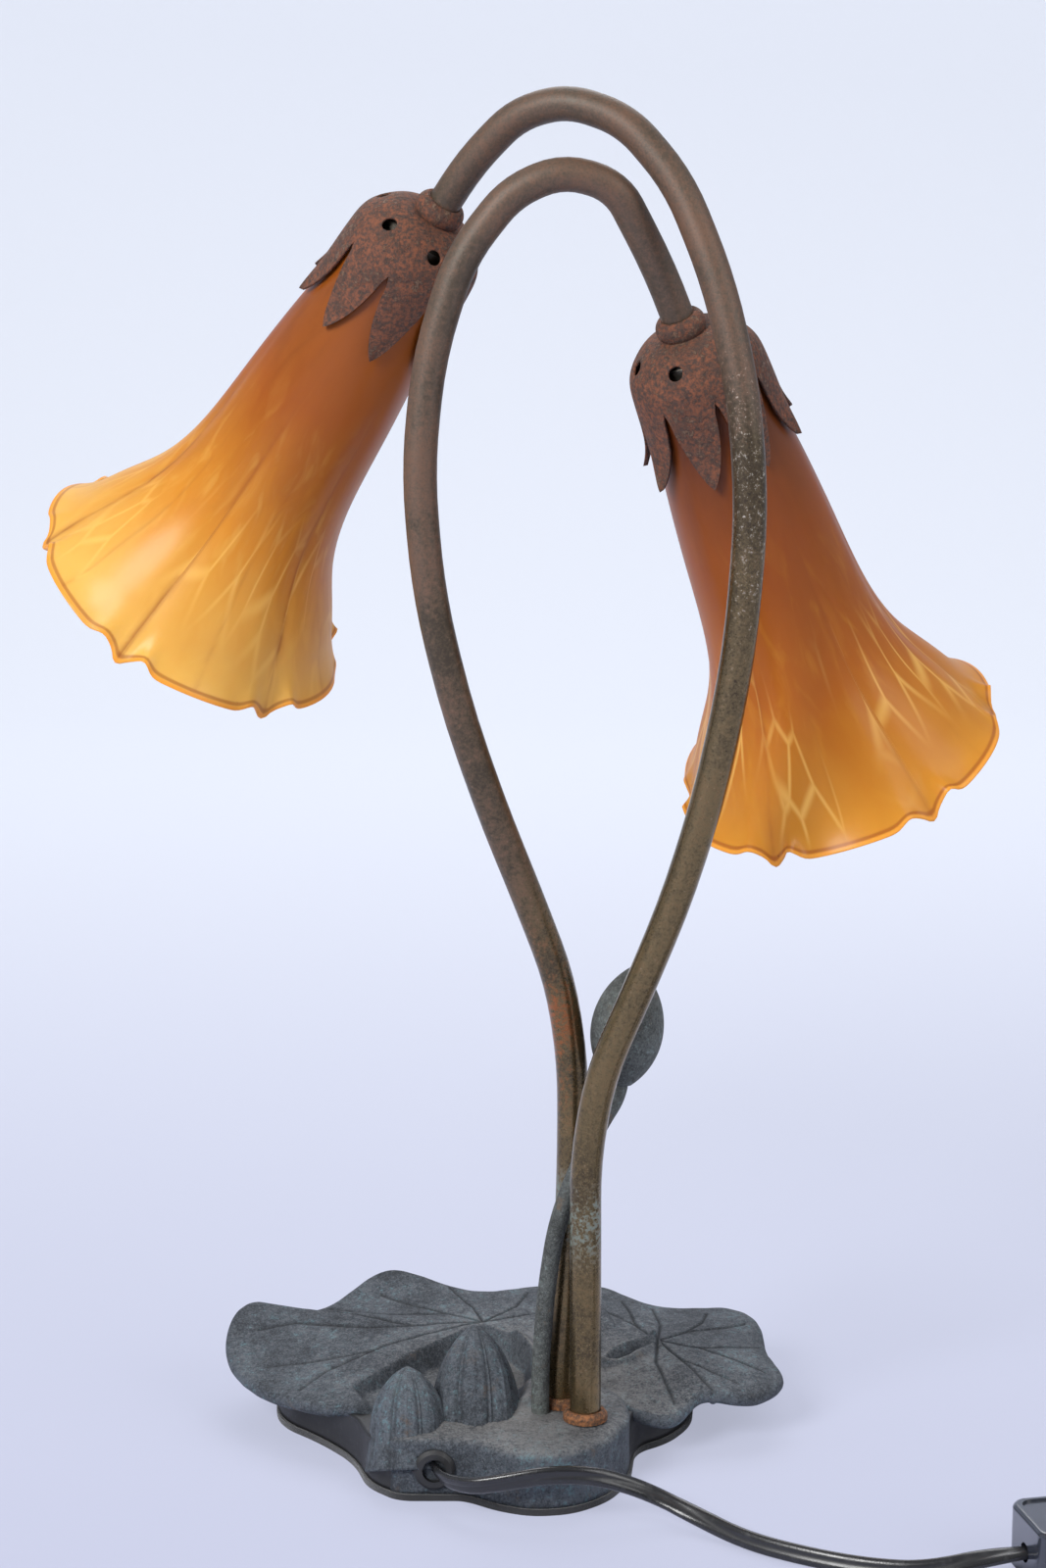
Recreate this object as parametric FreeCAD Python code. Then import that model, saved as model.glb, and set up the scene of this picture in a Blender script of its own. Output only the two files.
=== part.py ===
import FreeCAD, Part
import math
import os

# Table lamp with two tulip shades on bent tubes, rising from a cast lily-pond foot.
# Millimetres. The foot stands on z = 0 with its middle at the origin, +Z is up, the
# shades lean towards +Y, and the cord leaves the foot at -Y.

Vector = FreeCAD.Vector
UP = Vector(0, 0, 1)
BACK = Vector(0, -1, 0)

# ---------------------------------------------------------------- driving dimensions
# Fits
seat_gap = 0.1            # radial gap of a part slipped over another
glass_gap = 0.5           # radial gap round glass
overrun = 5.0             # how far a cutter runs past the face it cuts

# Bent tubes
tube_diameter = 9.5
tube_wall = 1.0
tube_below_platform = 9.5
tube_into_holder = 8.0
flex_diameter = 3.2       # two-core flex inside each tube

# Foot
felt_thickness = 2.0
felt_overhang = 0.6
platform_height = 20.0
platform_floor = 4.5      # metal above the nut pocket
platform_edge_radius = 2.5
casting_wall = 4.0
cavity_height = 12.5
pad_thickness = 4.5
ballast_thickness = 4.0
ballast_gap = 0.6
post_radius = 4.5
screw_radius = 2.0
screw_head_radius = 4.0
screw_head_height = 2.2
post_places = [(-50.0, 22.0), (46.0, 22.0), (4.0, -49.0)]

# Foot fastenings
washer_radius = 6.8
washer_thickness = 3.0
nut_across_flats = 13.6
nut_height = 4.0
stem_diameter = 5.5
stem_depth = 3.2          # how deep the stem stands in the platform

# Bud on its stem
bud_radius = 11.0
bud_length = 36.0
bud_socket_depth = 5.0

# Cord outlet
outlet_x = -20.2
outlet_z = 10.0
outlet_wall_y = -51.7
outlet_radius = 4.6
grommet_radius = 6.25
grommet_lip = 1.8
grommet_bore = 3.6

# Calyx and lampholder, along the light's own axis from the top of the calyx
calyx_sheet = 0.8
calyx_radius = 20.4
calyx_length = 39.5
calyx_tip_flare = 1.8
sepal_count = 8
slit_start = 14.0
sepal_tip_gap = 13.6
vent_count = 6
vent_radius = 2.2
vent_ring_radius = 15.8
collar_radius = 7.3
collar_height = 5.5
cap_radius = 13.0
holder_radius = 12.0
holder_top = 9.0
holder_length = 31.0
flange_radius = 16.0
flange_thickness = 1.5
flange_depth = 12.0
shell_radius = 7.7
shell_wall = 0.5
ring_radius = 14.6
ring_height = 5.0
ring_notches = 8
ring_clearance = 0.1      # between the ring and the glass it holds

# Bulb
bulb_cap_radius = 7.1
bulb_cap_length = 19.0
bulb_radius = 14.0
bulb_length = 44.0
bulb_wall = 0.8
bulb_neck_straight = 3.0

# Tulip shade
shade_length = 155.0      # top of the calyx to the mouth
shade_wall = 2.6
shade_hole_gap = 0.6
petal_count = 6
petal_flare = 5.0         # how far a petal's middle curls out past its ends
petal_curl = 5.0          # how far a petal's middle curls back up
nib_reach = 2.2
notch_depth = 3.0
# radius of the shade at stations down its length
shade_profile = [(16.8, 13.5), (17.9, 16.0), (18.4, 24.0), (20.0, 40.0), (21.7, 54.0),
                 (23.2, 70.0), (24.7, 88.0), (27.5, 106.0), (32.3, 120.0), (38.7, 132.0),
                 (44.0, 142.5), (49.4, 155.0)]

# Cord
cord_diameter = 5.5
cord_pitch = 6.3          # from turn to turn and from layer to layer
coil_centre = (234.0, -26.0)
coil_outer_radius = 42.5  # at the middle of the outermost turn
coil_turns = 7
coil_start_angle = -40.0

# In-line switch
switch_centre = (180.0, -97.9)
switch_heading = 12.0
switch_length = 64.0
switch_width = 28.0
switch_height = 18.0
switch_split = 9.0
switch_wall = 2.0
switch_corner = 5.0
switch_cord_z = 7.5
switch_cord_depth = 7.0   # how far the cord reaches into each end
switch_cord_straight = 8.0
rocker_length = 22.0
rocker_width = 12.0
rocker_gap = 0.4
rocker_tilt = 9.0
rocker_rise = 2.0
pivot_radius = 1.25
pivot_z = 13.2

# Plug
plug_centre_x = 286.5
plug_start_y = 30.0
plug_boot_length = 24.0
plug_body_length = 34.0
plug_width = 34.0
plug_thickness = 14.0
pin_radius = 2.0
pin_length = 19.0
pin_spacing = 18.6

# ---------------------------------------------------------------- routes and outlines
# Centre line of each bent tube, from the platform to the light.
upper_route = [(25.5, -36.4, 64.0), (25.2, -40.2, 103.0), (29.4, -43.5, 130.0), (40.8, -48.2, 158.5),
               (51.2, -54.0, 186.5), (60.3, -61.0, 219.6), (67.4, -68.5, 260.0), (69.8, -73.0, 300.0),
               (67.2, -74.6, 332.0), (60.1, -72.6, 362.5), (49.1, -67.0, 389.6), (34.8, -61.2, 406.4),
               (18.8, -55.4, 412.0), (4.9, -49.0, 408.6)]
lower_route = [(18.3, -24.0, 30.0), (20.4, -24.0, 62.0), (21.6, -23.6, 97.6), (21.6, -24.8, 129.0),
               (17.6, -29.0, 155.6), (8.8, -35.2, 180.4), (-2.4, -43.2, 210.0), (-12.6, -50.4, 241.4),
               (-20.4, -57.2, 276.0), (-23.0, -60.8, 311.2), (-19.4, -62.8, 342.8), (-10.6, -64.2, 369.6),
               (3.2, -65.0, 386.8), (17.4, -65.0, 392.8), (32.2, -63.4, 388.6)]
upper_foot = (25.5, -36.4)
lower_foot = (18.3, -24.0)
upper_light = ((-18.4, -33.0, 380.8), (-0.515, 0.400, -0.758))
lower_light = ((51.8, -47.0, 348.4), (0.345, 0.380, -0.858))
light_lead = 20.0         # straight tube before the calyx
# how far each light's petals, sepals and vents are turned, in degrees from the near side
upper_phases = (38.0, -19.0, -24.0)
lower_phases = (9.0, -24.0, 25.0)

# Centre line of the bud's stem, platform to bud.
stem_foot = (11.8, -31.0)
stem_route = [(11.8, -31.0, 34.0), (13.6, -32.6, 60.0), (16.6, -33.0, 80.0), (22.0, -32.6, 96.0),
              (30.0, -30.4, 112.0)]
bud_base = (35.6, -28.0, 123.5)
bud_axis = (0.14, 0.06, 1.0)

# Plan of the foot where it meets the felt.
foot_outline = [(-12.0, -51.7), (-8.2, -53.6), (-1.0, -59.0), (9.0, -63.0), (21.0, -61.4), (31.6, -53.0),
                (38.8, -38.6), (41.0, -16.0), (52.0, -8.0), (60.0, 6.0), (62.0, 28.0), (52.0, 46.0),
                (30.0, 55.0), (4.0, 54.0), (-22.0, 56.0), (-46.0, 54.0), (-64.0, 42.0), (-74.0, 24.0),
                (-71.0, 6.0), (-57.0, -8.0), (-45.5, -24.0), (-40.5, -42.0), (-32.6, -50.2), (-28.6, -51.7)]
# Plan of the raised platform in front of the pads.
platform_outline = [(-12.0, -51.7), (-8.2, -53.6), (-1.0, -59.0), (9.0, -63.0), (21.0, -61.4), (31.6, -53.0),
                    (38.8, -38.6), (40.4, -20.0), (33.0, -4.0), (16.0, -2.0), (0.0, -8.0), (-16.0, -18.0),
                    (-29.0, -25.0), (-34.0, -40.0), (-34.4, -48.0), (-32.6, -50.2), (-28.6, -51.7)]
# Plan of the gap in the left pad, where its two edges part behind the buds.
pad_gap_outline = [(-6.0, 32.0), (-13.0, 27.0), (-33.0, 6.0), (-47.0, -9.0), (-38.0, -30.0), (9.0, -30.0),
                   (9.0, 10.0), (3.0, 24.0)]
pad_gap_floor = 18.5

# Lily pads: rim points (x, y, z), counter-clockwise, and the pad's middle.
left_pad = {"centre": (-6.7, 35.0, 24.5),
            "rim": [(-4.0, 65.0, 24.5), (-21.0, 63.3, 28.4), (-39.5, 70.0, 30.6), (-65.5, 49.3, 22.8),
                    (-85.6, 38.5, 29.5), (-89.6, 17.8, 21.5), (-81.2, 0.6, 17.5), (-61.2, -16.4, 16.8),
                    (-44.0, -22.0, 18.0), (-14.0, -19.0, 17.0), (14.0, -10.0, 18.5), (31.7, 6.0, 20.0),
                    (38.0, 32.0, 22.0), (31.5, 54.0, 25.0), (14.3, 68.8, 25.4)]}
right_pad = {"centre": (50.5, 24.0, 22.0),
             "rim": [(31.0, 70.0, 24.8), (51.0, 60.3, 21.3), (78.0, 59.0, 20.4), (85.7, 42.0, 19.9),
                     (86.5, 19.8, 18.8), (89.6, 2.6, 17.4), (75.0, -11.8, 17.4), (63.0, -12.6, 18.4),
                     (54.0, -20.4, 13.8), (40.0, -20.0, 15.5), (22.0, -6.0, 18.5), (14.0, 24.0, 21.0),
                     (16.0, 52.0, 24.0)]}

# Buds modelled on the foot: base middle, tip, base radius.
large_bud = ((-8.0, -30.0, 14.0), (-8.6, -13.5, 41.5), 13.6)
small_bud = ((-28.4, -38.0, 15.0), (-29.0, -29.5, 34.0), 11.6)
bud_ribs = 8
small_bud_body_radius = 13.2

# Cord, from inside the foot to the switch.
lead_route = [(-20.2, -41.0, 10.0), (-20.2, -56.6, 10.0), (-10.4, -67.0, 10.8), (1.0, -69.6, 13.4),
              (13.0, -70.2, 16.0), (26.0, -69.2, 15.6), (36.0, -66.8, 12.2), (46.0, -66.4, 8.0),
              (57.0, -72.2, 4.4), (71.0, -86.0, 2.75), (88.0, -97.0, 2.75), (105.0, -104.4, 2.75),
              (121.0, -108.2, 3.6)]
# Cord, from the switch to the coil.
middle_route = [(232.0, -84.4, 4.4), (243.0, -76.6, 2.75)]
# Cord, from the coil to the plug.
tail_route = [(281.6, -31.0, 8.0), (286.4, -17.0, 4.4), (287.8, -2.0, 2.75), (287.2, 13.0, 4.2)]

crimp_places = [(-36.0, 3.0), (-36.0, 14.0)]
crimp_radius = 2.9
crimp_length = 14.0
clamp_y = (-46.0, -41.0)
clamp_width = 13.0
clamp_gap = 0.2


# ---------------------------------------------------------------- helpers
def unit(v):
    """The vector v with length 1."""
    return Vector(v).normalize()


def tangent_arc(start, corner, end):
    """The arc that leaves start towards corner and arrives at end from corner."""
    middle = (start + end) * 0.5
    height = (corner - middle).Length
    reach = (corner - start).Length
    if height < 1e-6 * reach:
        return Part.LineSegment(start, end)
    half_turn = math.asin(min(1.0, height / reach))
    sagitta = reach * math.cos(half_turn) * math.tan(half_turn / 2)
    top = middle + (corner - middle) * (sagitta / height)
    return Part.Arc(start, top, end)


def rounded_path(points, closed=False):
    """Straight runs joined by tangent arcs, each arc taking 0.45 of its shorter run. Also the radii."""
    points = [Vector(*p) for p in points]
    count = len(points)
    corners = range(count) if closed else range(1, count - 1)
    cut, radii = {}, []
    for i in corners:
        before, here, after = points[i - 1], points[i], points[(i + 1) % count]
        reach = 0.45 * min((before - here).Length, (after - here).Length)
        turn = (here - before).getAngle(after - here)
        cut[i] = (here + unit(before - here) * reach, here + unit(after - here) * reach)
        radii.append(reach / math.tan(turn / 2) if turn > 1e-6 else 999.0)
    edges = []
    spans = range(count) if closed else range(count - 1)
    for i in spans:
        j = (i + 1) % count
        leave = cut[i][1] if i in cut else points[i]
        arrive = cut[j][0] if j in cut else points[j]
        edges.append(Part.LineSegment(leave, arrive).toShape())
        if j in cut:
            edges.append(tangent_arc(cut[j][0], points[j], cut[j][1]).toShape())
    return Part.Wire(edges), radii


def biarc_path(points, tangents):
    """A smooth wire of two tangent arcs from each point to the next."""
    edges = []
    for p, q, t, u in zip(points, points[1:], tangents, tangents[1:]):
        v, s, k = q - p, t + u, 2 * (1 - t.dot(u))
        reach = (math.sqrt(v.dot(s) ** 2 + k * v.dot(v)) - v.dot(s)) / k
        a, b = p + t * reach, q - u * reach
        joint = (a + b) * 0.5
        edges.append(tangent_arc(p, a, joint).toShape())
        edges.append(tangent_arc(joint, b, q).toShape())
    return edges


def pipe(path, diameter):
    """A round bar along a wire."""
    start = path.Edges[0].valueAt(path.Edges[0].FirstParameter)
    heading = path.Edges[0].tangentAt(path.Edges[0].FirstParameter)
    section = Part.Wire(Part.makeCircle(diameter / 2, start, heading))
    return path.makePipeShell([section], True, False)


def turned(profile):
    """A solid turned about Z from the outline (radius, z)."""
    corners = [Vector(r, 0, z) for r, z in profile]
    face = Part.Face(Part.makePolygon(corners + corners[:1]))
    return face.revolve(Vector(), UP, 360)


def turned_wire(edges):
    """A solid turned about Z from edges that close in the XZ plane."""
    return Part.Face(Part.Wire(Part.sortEdges(edges)[0])).revolve(Vector(), UP, 360)


def smooth_edge(points):
    """A smooth curve through points (radius, z) in the XZ plane."""
    curve = Part.BSplineCurve()
    curve.interpolate([Vector(r, 0, z) for r, z in points])
    return curve.toShape()


def upright_arc(widest, end):
    """The arc between two points (radius, z) that runs along the axis at the widest one."""
    (r, z), (r_end, z_end) = widest, end
    radius = ((r - r_end) ** 2 + (z_end - z) ** 2) / (2 * (r - r_end))
    half = math.atan2(z_end - z, r_end - r + radius) / 2
    middle = Vector(r - radius + radius * math.cos(half), 0, z + radius * math.sin(half))
    return Part.Arc(Vector(r, 0, z), middle, Vector(r_end, 0, z_end)).toShape()


def line(a, b):
    """An edge between two points (radius, z) in the XZ plane."""
    return Part.LineSegment(Vector(a[0], 0, a[1]), Vector(b[0], 0, b[1])).toShape()


def cylinder(radius, low, high, x=0.0, y=0.0):
    """An upright cylinder between two heights."""
    return Part.makeCylinder(radius, high - low, Vector(x, y, low), UP)


def block(low, high):
    """A box between two corners."""
    size = Vector(*high) - Vector(*low)
    return Part.makeBox(size.x, size.y, size.z, Vector(*low))


def prism(wire, low, high):
    """A plan outline raised from one height to another."""
    face = Part.Face(wire)
    face.translate(Vector(0, 0, low - face.BoundBox.ZMin))
    return face.extrude(Vector(0, 0, high - low))


def flat(points):
    """Plan points (x, y) as points at z = 0."""
    return [(x, y, 0.0) for x, y in points]


def fused(first, *others):
    """One solid of pieces that overlap."""
    return first.fuse(list(others)).removeSplitter() if others else first


def placed(shape, origin, axis, phase=0.0):
    """A shape built along Z, set with Z along axis and X as near the back as it goes, turned by phase degrees."""
    z = unit(Vector(*axis))
    x = unit(BACK - z * BACK.dot(z))
    turn = FreeCAD.Rotation(x, z.cross(x), z, "ZXY") * FreeCAD.Rotation(UP, phase)
    copy = shape.copy()
    copy.Placement = FreeCAD.Placement(Vector(*origin), turn) * copy.Placement
    return copy


# ---------------------------------------------------------------- foot
def pad_rim(pad, angle):
    """Distance and height of a pad's rim in a direction from its middle, eased between the rim points."""
    cx, cy, _ = pad["centre"]
    marks = sorted((math.atan2(y - cy, x - cx) % math.tau, math.hypot(x - cx, y - cy), z)
                   for x, y, z in pad["rim"])
    marks = [(marks[-1][0] - math.tau,) + marks[-1][1:]] + marks + [(marks[0][0] + math.tau,) + marks[0][1:]]
    angle %= math.tau
    for (a, reach_a, z_a), (b, reach_b, z_b) in zip(marks, marks[1:]):
        if a <= angle <= b:
            ease = (1 - math.cos(math.pi * (angle - a) / (b - a))) / 2
            return reach_a + (reach_b - reach_a) * ease, z_a + (z_b - z_a) * ease
    raise ValueError("angle past the rim")


def pad_height(pad, x, y):
    """Height of a pad's top: its middle's, changing with the square of the way out to the rim's."""
    cx, cy, middle = pad["centre"]
    reach, rim = pad_rim(pad, math.atan2(y - cy, x - cx))
    share = min(1.2, math.hypot(x - cx, y - cy) / reach)
    return middle + (rim - middle) * share ** 2


def pad_face(pad):
    """The pad's top as one smooth sheet over its plan."""
    xs = [p[0] for p in pad["rim"]]
    ys = [p[1] for p in pad["rim"]]
    margin, columns, rows = 8.0, 13, 10
    x_low, x_high = min(xs) - margin, max(xs) + margin
    y_low, y_high = min(ys) - margin, max(ys) + margin
    grid = []
    for i in range(columns):
        x = x_low + (x_high - x_low) * i / (columns - 1)
        column = [y_low + (y_high - y_low) * j / (rows - 1) for j in range(rows)]
        grid.append([Vector(x, y, pad_height(pad, x, y)) for y in column])
    surface = Part.BSplineSurface()
    surface.interpolate(grid)
    return surface.toShape()


def pad_plan(pad):
    """The pad's rim in plan, smooth and closed, as a tall prism."""
    curve = Part.BSplineCurve()
    curve.interpolate([Vector(x, y, 0) for x, y, _ in pad["rim"]], PeriodicFlag=True)
    return prism(Part.Wire(curve.toShape()), 0, 4 * platform_height)


def lotus_bud(base, tip, radius, below=0.0):
    """A ribbed bud: ribs are the corners of its sections, and each petal between them is a shallow arc."""
    length = (Vector(*tip) - Vector(*base)).Length
    stations = [(-below, 1.0), (0.0, 1.0), (0.3, 0.96), (0.6, 0.74), (0.85, 0.4), (1.0, 0.1)]
    if not below:
        stations = stations[1:]
    sections = []
    for along, share in stations:
        r = radius * share
        z = along * length
        ribs = [Vector(r * math.cos(math.tau * k / bud_ribs), r * math.sin(math.tau * k / bud_ribs), z)
                for k in range(bud_ribs)]
        edges = []
        for k in range(bud_ribs):
            half = math.tau * (k + 0.5) / bud_ribs
            bulge = 0.955 * r
            crown = Vector(bulge * math.cos(half), bulge * math.sin(half), z)
            edges.append(Part.Arc(ribs[k], crown, ribs[(k + 1) % bud_ribs]).toShape())
        sections.append(Part.Wire(edges))
    bud = Part.makeLoft(sections, True, False)
    return placed(bud, base, Vector(*tip) - Vector(*base), 360 / bud_ribs / 2)


def inset(outline, distance, low, high):
    """A rounded outline moved in by a distance, or out if it is negative, and raised."""
    wire, _ = rounded_path(flat(outline), closed=True)
    return prism(wire.makeOffset2D(-distance), low, high)


def build_foot():
    """The casting: two lily pads, the platform with its buds, a hollow skirt and posts for the ballast."""
    base = felt_thickness
    tall = 3 * platform_height
    skirt = inset(foot_outline, 0.0, base, tall)
    platform = inset(platform_outline, 0.0, base, platform_height)
    brim = [e for e in platform.Edges if e.BoundBox.ZMin > platform_height - 0.01]
    casting = platform.makeFillet(platform_edge_radius, brim)
    gap, _ = rounded_path(flat(pad_gap_outline), closed=True)
    gap = prism(gap, pad_gap_floor, tall)
    for pad in (left_pad, right_pad):
        top = pad_face(pad)
        slab = top.extrude(Vector(0, 0, -pad_thickness)).common(pad_plan(pad))
        under = top.copy()
        under.translate(Vector(0, 0, -pad_thickness / 2))
        filling = under.extrude(Vector(0, 0, -tall)).common(skirt).common(pad_plan(pad))
        casting = casting.fuse([slab.cut(gap), filling.cut(gap)])
    small_body = turned([(0, base), (small_bud_body_radius, base), (small_bud[2] + 0.6, small_bud[0][2]),
                         (0, small_bud[0][2] + 2.0)])
    small_body.translate(Vector(small_bud[0][0], small_bud[0][1], 0))
    casting = casting.fuse([lotus_bud(*large_bud), lotus_bud(*small_bud), small_body])
    casting = casting.removeSplitter()

    hollow = inset(foot_outline, casting_wall, base - overrun, cavity_height)
    pocket_top = platform_height - platform_floor
    hollow = hollow.fuse(inset(platform_outline, casting_wall, base - overrun, pocket_top))
    posts = [cylinder(post_radius, base + ballast_thickness, pocket_top + 1, x, y) for x, y in post_places]
    casting = casting.cut(hollow).fuse(posts)
    cutters = [cylinder(screw_radius + seat_gap / 2, base, cavity_height, x, y) for x, y in post_places]
    for x, y in (upper_foot, lower_foot):
        cutters.append(cylinder(tube_diameter / 2 + seat_gap, base, tall, x, y))
    cutters.append(cylinder(stem_diameter / 2 + seat_gap, platform_height - stem_depth, tall, *stem_foot))
    outlet = Part.makeCylinder(outlet_radius, casting_wall + 2 * overrun,
                               Vector(outlet_x, outlet_wall_y - overrun, outlet_z), -BACK)
    return casting.cut(cutters + [outlet])


def build_ballast():
    """The iron plate that closes the foot, notched for the grommet and countersunk for its screws."""
    top = felt_thickness + ballast_thickness
    plate = inset(foot_outline, casting_wall + ballast_gap, felt_thickness, top)
    notch = grommet_radius + ballast_gap
    inner = outlet_wall_y + casting_wall + grommet_lip + ballast_gap
    plate = plate.cut(block((outlet_x - notch, outlet_wall_y - overrun, 0),
                            (outlet_x + notch, inner, platform_height)))
    for x, y in post_places:
        sink = Part.makeCone(screw_head_radius + seat_gap, screw_radius + seat_gap, screw_head_height,
                             Vector(x, y, felt_thickness), UP)
        plate = plate.cut([sink, cylinder(screw_radius + seat_gap, 0, top + 1, x, y)])
    return plate


def build_ballast_screws():
    """Three countersunk screws, up into the casting's posts."""
    screws = []
    for x, y in post_places:
        head = Part.makeCone(screw_head_radius, screw_radius, screw_head_height,
                             Vector(x, y, felt_thickness), UP)
        shank = cylinder(screw_radius, felt_thickness, cavity_height - seat_gap, x, y)
        slot = block((x - 0.6, y - screw_head_radius, 0), (x + 0.6, y + screw_head_radius, felt_thickness + 0.9))
        screws.append(head.fuse(shank).cut(slot))
    return Part.makeCompound(screws)


def build_grommet():
    """The black ring in the outlet: an outer lip, a neck through the wall and an inner lip."""
    inner = casting_wall
    ring = turned([(grommet_bore, -grommet_lip), (grommet_radius - 1.0, -grommet_lip),
                   (grommet_radius, -grommet_lip * 0.4), (grommet_radius, 0),
                   (outlet_radius - seat_gap, 0), (outlet_radius - seat_gap, inner),
                   (outlet_radius + 0.7, inner), (outlet_radius + 0.4, inner + 1.2), (grommet_bore, inner + 1.2)])
    ring.Placement = FreeCAD.Placement(Vector(outlet_x, outlet_wall_y, outlet_z),
                                       FreeCAD.Rotation(UP, -BACK))
    return ring


def build_clamp():
    """The saddle that grips the cord on the ballast, inside the outlet."""
    low = felt_thickness + ballast_thickness
    saddle = block((outlet_x - clamp_width / 2, clamp_y[0], low),
                   (outlet_x + clamp_width / 2, clamp_y[1], outlet_z + cord_diameter / 2 + 1.6))
    saddle = saddle.makeFillet(1.2, [e for e in saddle.Edges if abs(e.tangentAt(0).y) > 0.9 and
                                     e.BoundBox.ZMin > low + 1])
    bore = Part.makeCylinder(cord_diameter / 2 + clamp_gap, 4 * clamp_width,
                             Vector(outlet_x, clamp_y[0] - overrun, outlet_z), -BACK)
    return saddle.cut(bore)


def build_foot_nuts():
    """Hexagon lock nuts on the tubes' ends, under the platform, flats facing each other."""
    top = platform_height - platform_floor
    across = Vector(lower_foot[0] - upper_foot[0], lower_foot[1] - upper_foot[1], 0)
    corner = nut_across_flats / 2 / math.cos(math.pi / 6)
    phase = math.atan2(across.y, across.x) + math.pi / 6
    nuts = []
    for x, y in (upper_foot, lower_foot):
        ring = [Vector(x + corner * math.cos(phase + k * math.pi / 3),
                       y + corner * math.sin(phase + k * math.pi / 3), top - nut_height) for k in range(7)]
        nut = Part.Face(Part.makePolygon(ring)).extrude(Vector(0, 0, nut_height))
        nuts.append(nut.cut(cylinder(tube_diameter / 2 + seat_gap, 0, platform_height, x, y)))
    return Part.makeCompound(nuts)


def build_foot_washers():
    """Domed washers on the platform, round the tubes."""
    z = platform_height
    bore = tube_diameter / 2 + seat_gap
    ring = turned([(bore, z), (washer_radius, z), (washer_radius, z + 0.55 * washer_thickness),
                   (washer_radius - 1.0, z + washer_thickness), (bore, z + washer_thickness)])
    washers = []
    for x, y in (upper_foot, lower_foot):
        copy = ring.copy()
        copy.translate(Vector(x, y, 0))
        washers.append(copy)
    return Part.makeCompound(washers)


def build_crimps():
    """Closed connectors that join the cord to the two tubes' flex, lying on the ballast."""
    z = felt_thickness + ballast_thickness + crimp_radius
    crimps = []
    for x, y in crimp_places:
        sleeve = Part.makeCylinder(crimp_radius, crimp_length, Vector(x - crimp_length, y, z), Vector(1, 0, 0))
        crimps.append(sleeve.makeFillet(1.2, [e for e in sleeve.Edges if e.BoundBox.XMax < x - 1]))
    return Part.makeCompound(crimps)


# ---------------------------------------------------------------- tubes and stem
def light_points(light):
    """The last points of a tube: the start of its straight lead and its end inside the lampholder."""
    origin, axis = Vector(*light[0]), unit(Vector(*light[1]))
    return [tuple(origin - axis * light_lead), tuple(origin + axis * tube_into_holder)]


def tube_points(foot, route, light):
    """All the points of a tube's centre line."""
    return [(*foot, platform_height - tube_below_platform)] + route + light_points(light)


def build_tube(foot, route, light):
    """A bent tube from under the platform to the lampholder."""
    path, radii = rounded_path(tube_points(foot, route, light))
    print("tube radii", [round(r) for r in radii])
    return pipe(path, tube_diameter).cut(pipe(path, tube_diameter - 2 * tube_wall))


def build_flex(foot, route, light, crimp):
    """The two-core flex from a connector up through the tube to the lampholder."""
    under = felt_thickness + ballast_thickness + flex_diameter / 2 + 0.4
    height = felt_thickness + ballast_thickness + crimp_radius
    x, y = crimp
    points = [(x, y, height), (x + 12.0, y, height), (foot[0] - 20.0, foot[1] + 11.0, under),
              (foot[0] - 11.0, foot[1] + 2.0, under), (*foot, under), (*foot, platform_height)]
    points += route + light_points(light)[:1]
    axis = unit(Vector(*light[1]))
    points.append(tuple(Vector(*light[0]) + axis * (holder_top + flange_thickness)))
    path, _ = rounded_path(points)
    return pipe(path, flex_diameter)


def build_stem():
    """The rod that carries the free bud."""
    start = (*stem_foot, platform_height - stem_depth)
    axis = unit(Vector(*bud_axis))
    end = Vector(*bud_base) + axis * bud_socket_depth
    path, radii = rounded_path([start] + stem_route + [tuple(Vector(*bud_base) - axis * 4.0), tuple(end)])
    print("stem radii", [round(r) for r in radii])
    return pipe(path, stem_diameter)


def build_free_bud():
    """The egg-shaped bud on the stem, with a socket for it."""
    widest = (bud_radius, 0.46 * bud_length)
    base, tip = (stem_diameter / 2 + 0.9, 0.0), (0.11 * bud_radius, bud_length)
    edges = [upright_arc(widest, base), upright_arc(widest, tip), line(tip, (0, bud_length)),
             line((0, bud_length), (0, 0)), line((0, 0), base)]
    socket = cylinder(stem_diameter / 2 + seat_gap, -overrun, bud_socket_depth)
    return placed(turned_wire(edges).cut(socket), bud_base, bud_axis)


# ---------------------------------------------------------------- light
def calyx_outline(inward):
    """The calyx's section as points (radius, z), moved inward by a distance."""
    shoulder = calyx_radius - inward
    return [(8.2 - inward * 0.3, 0.0 + inward), (12.8 - inward * 0.6, 1.5 + inward * 0.8),
            (vent_ring_radius - inward * 0.75, 4.1 + inward * 0.65), (19.0 - inward, 8.6 + inward * 0.3),
            (shoulder - 0.3, 14.5), (shoulder, 22.0), (shoulder + 0.4, 31.0),
            (shoulder + calyx_tip_flare, calyx_length)]


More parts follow.
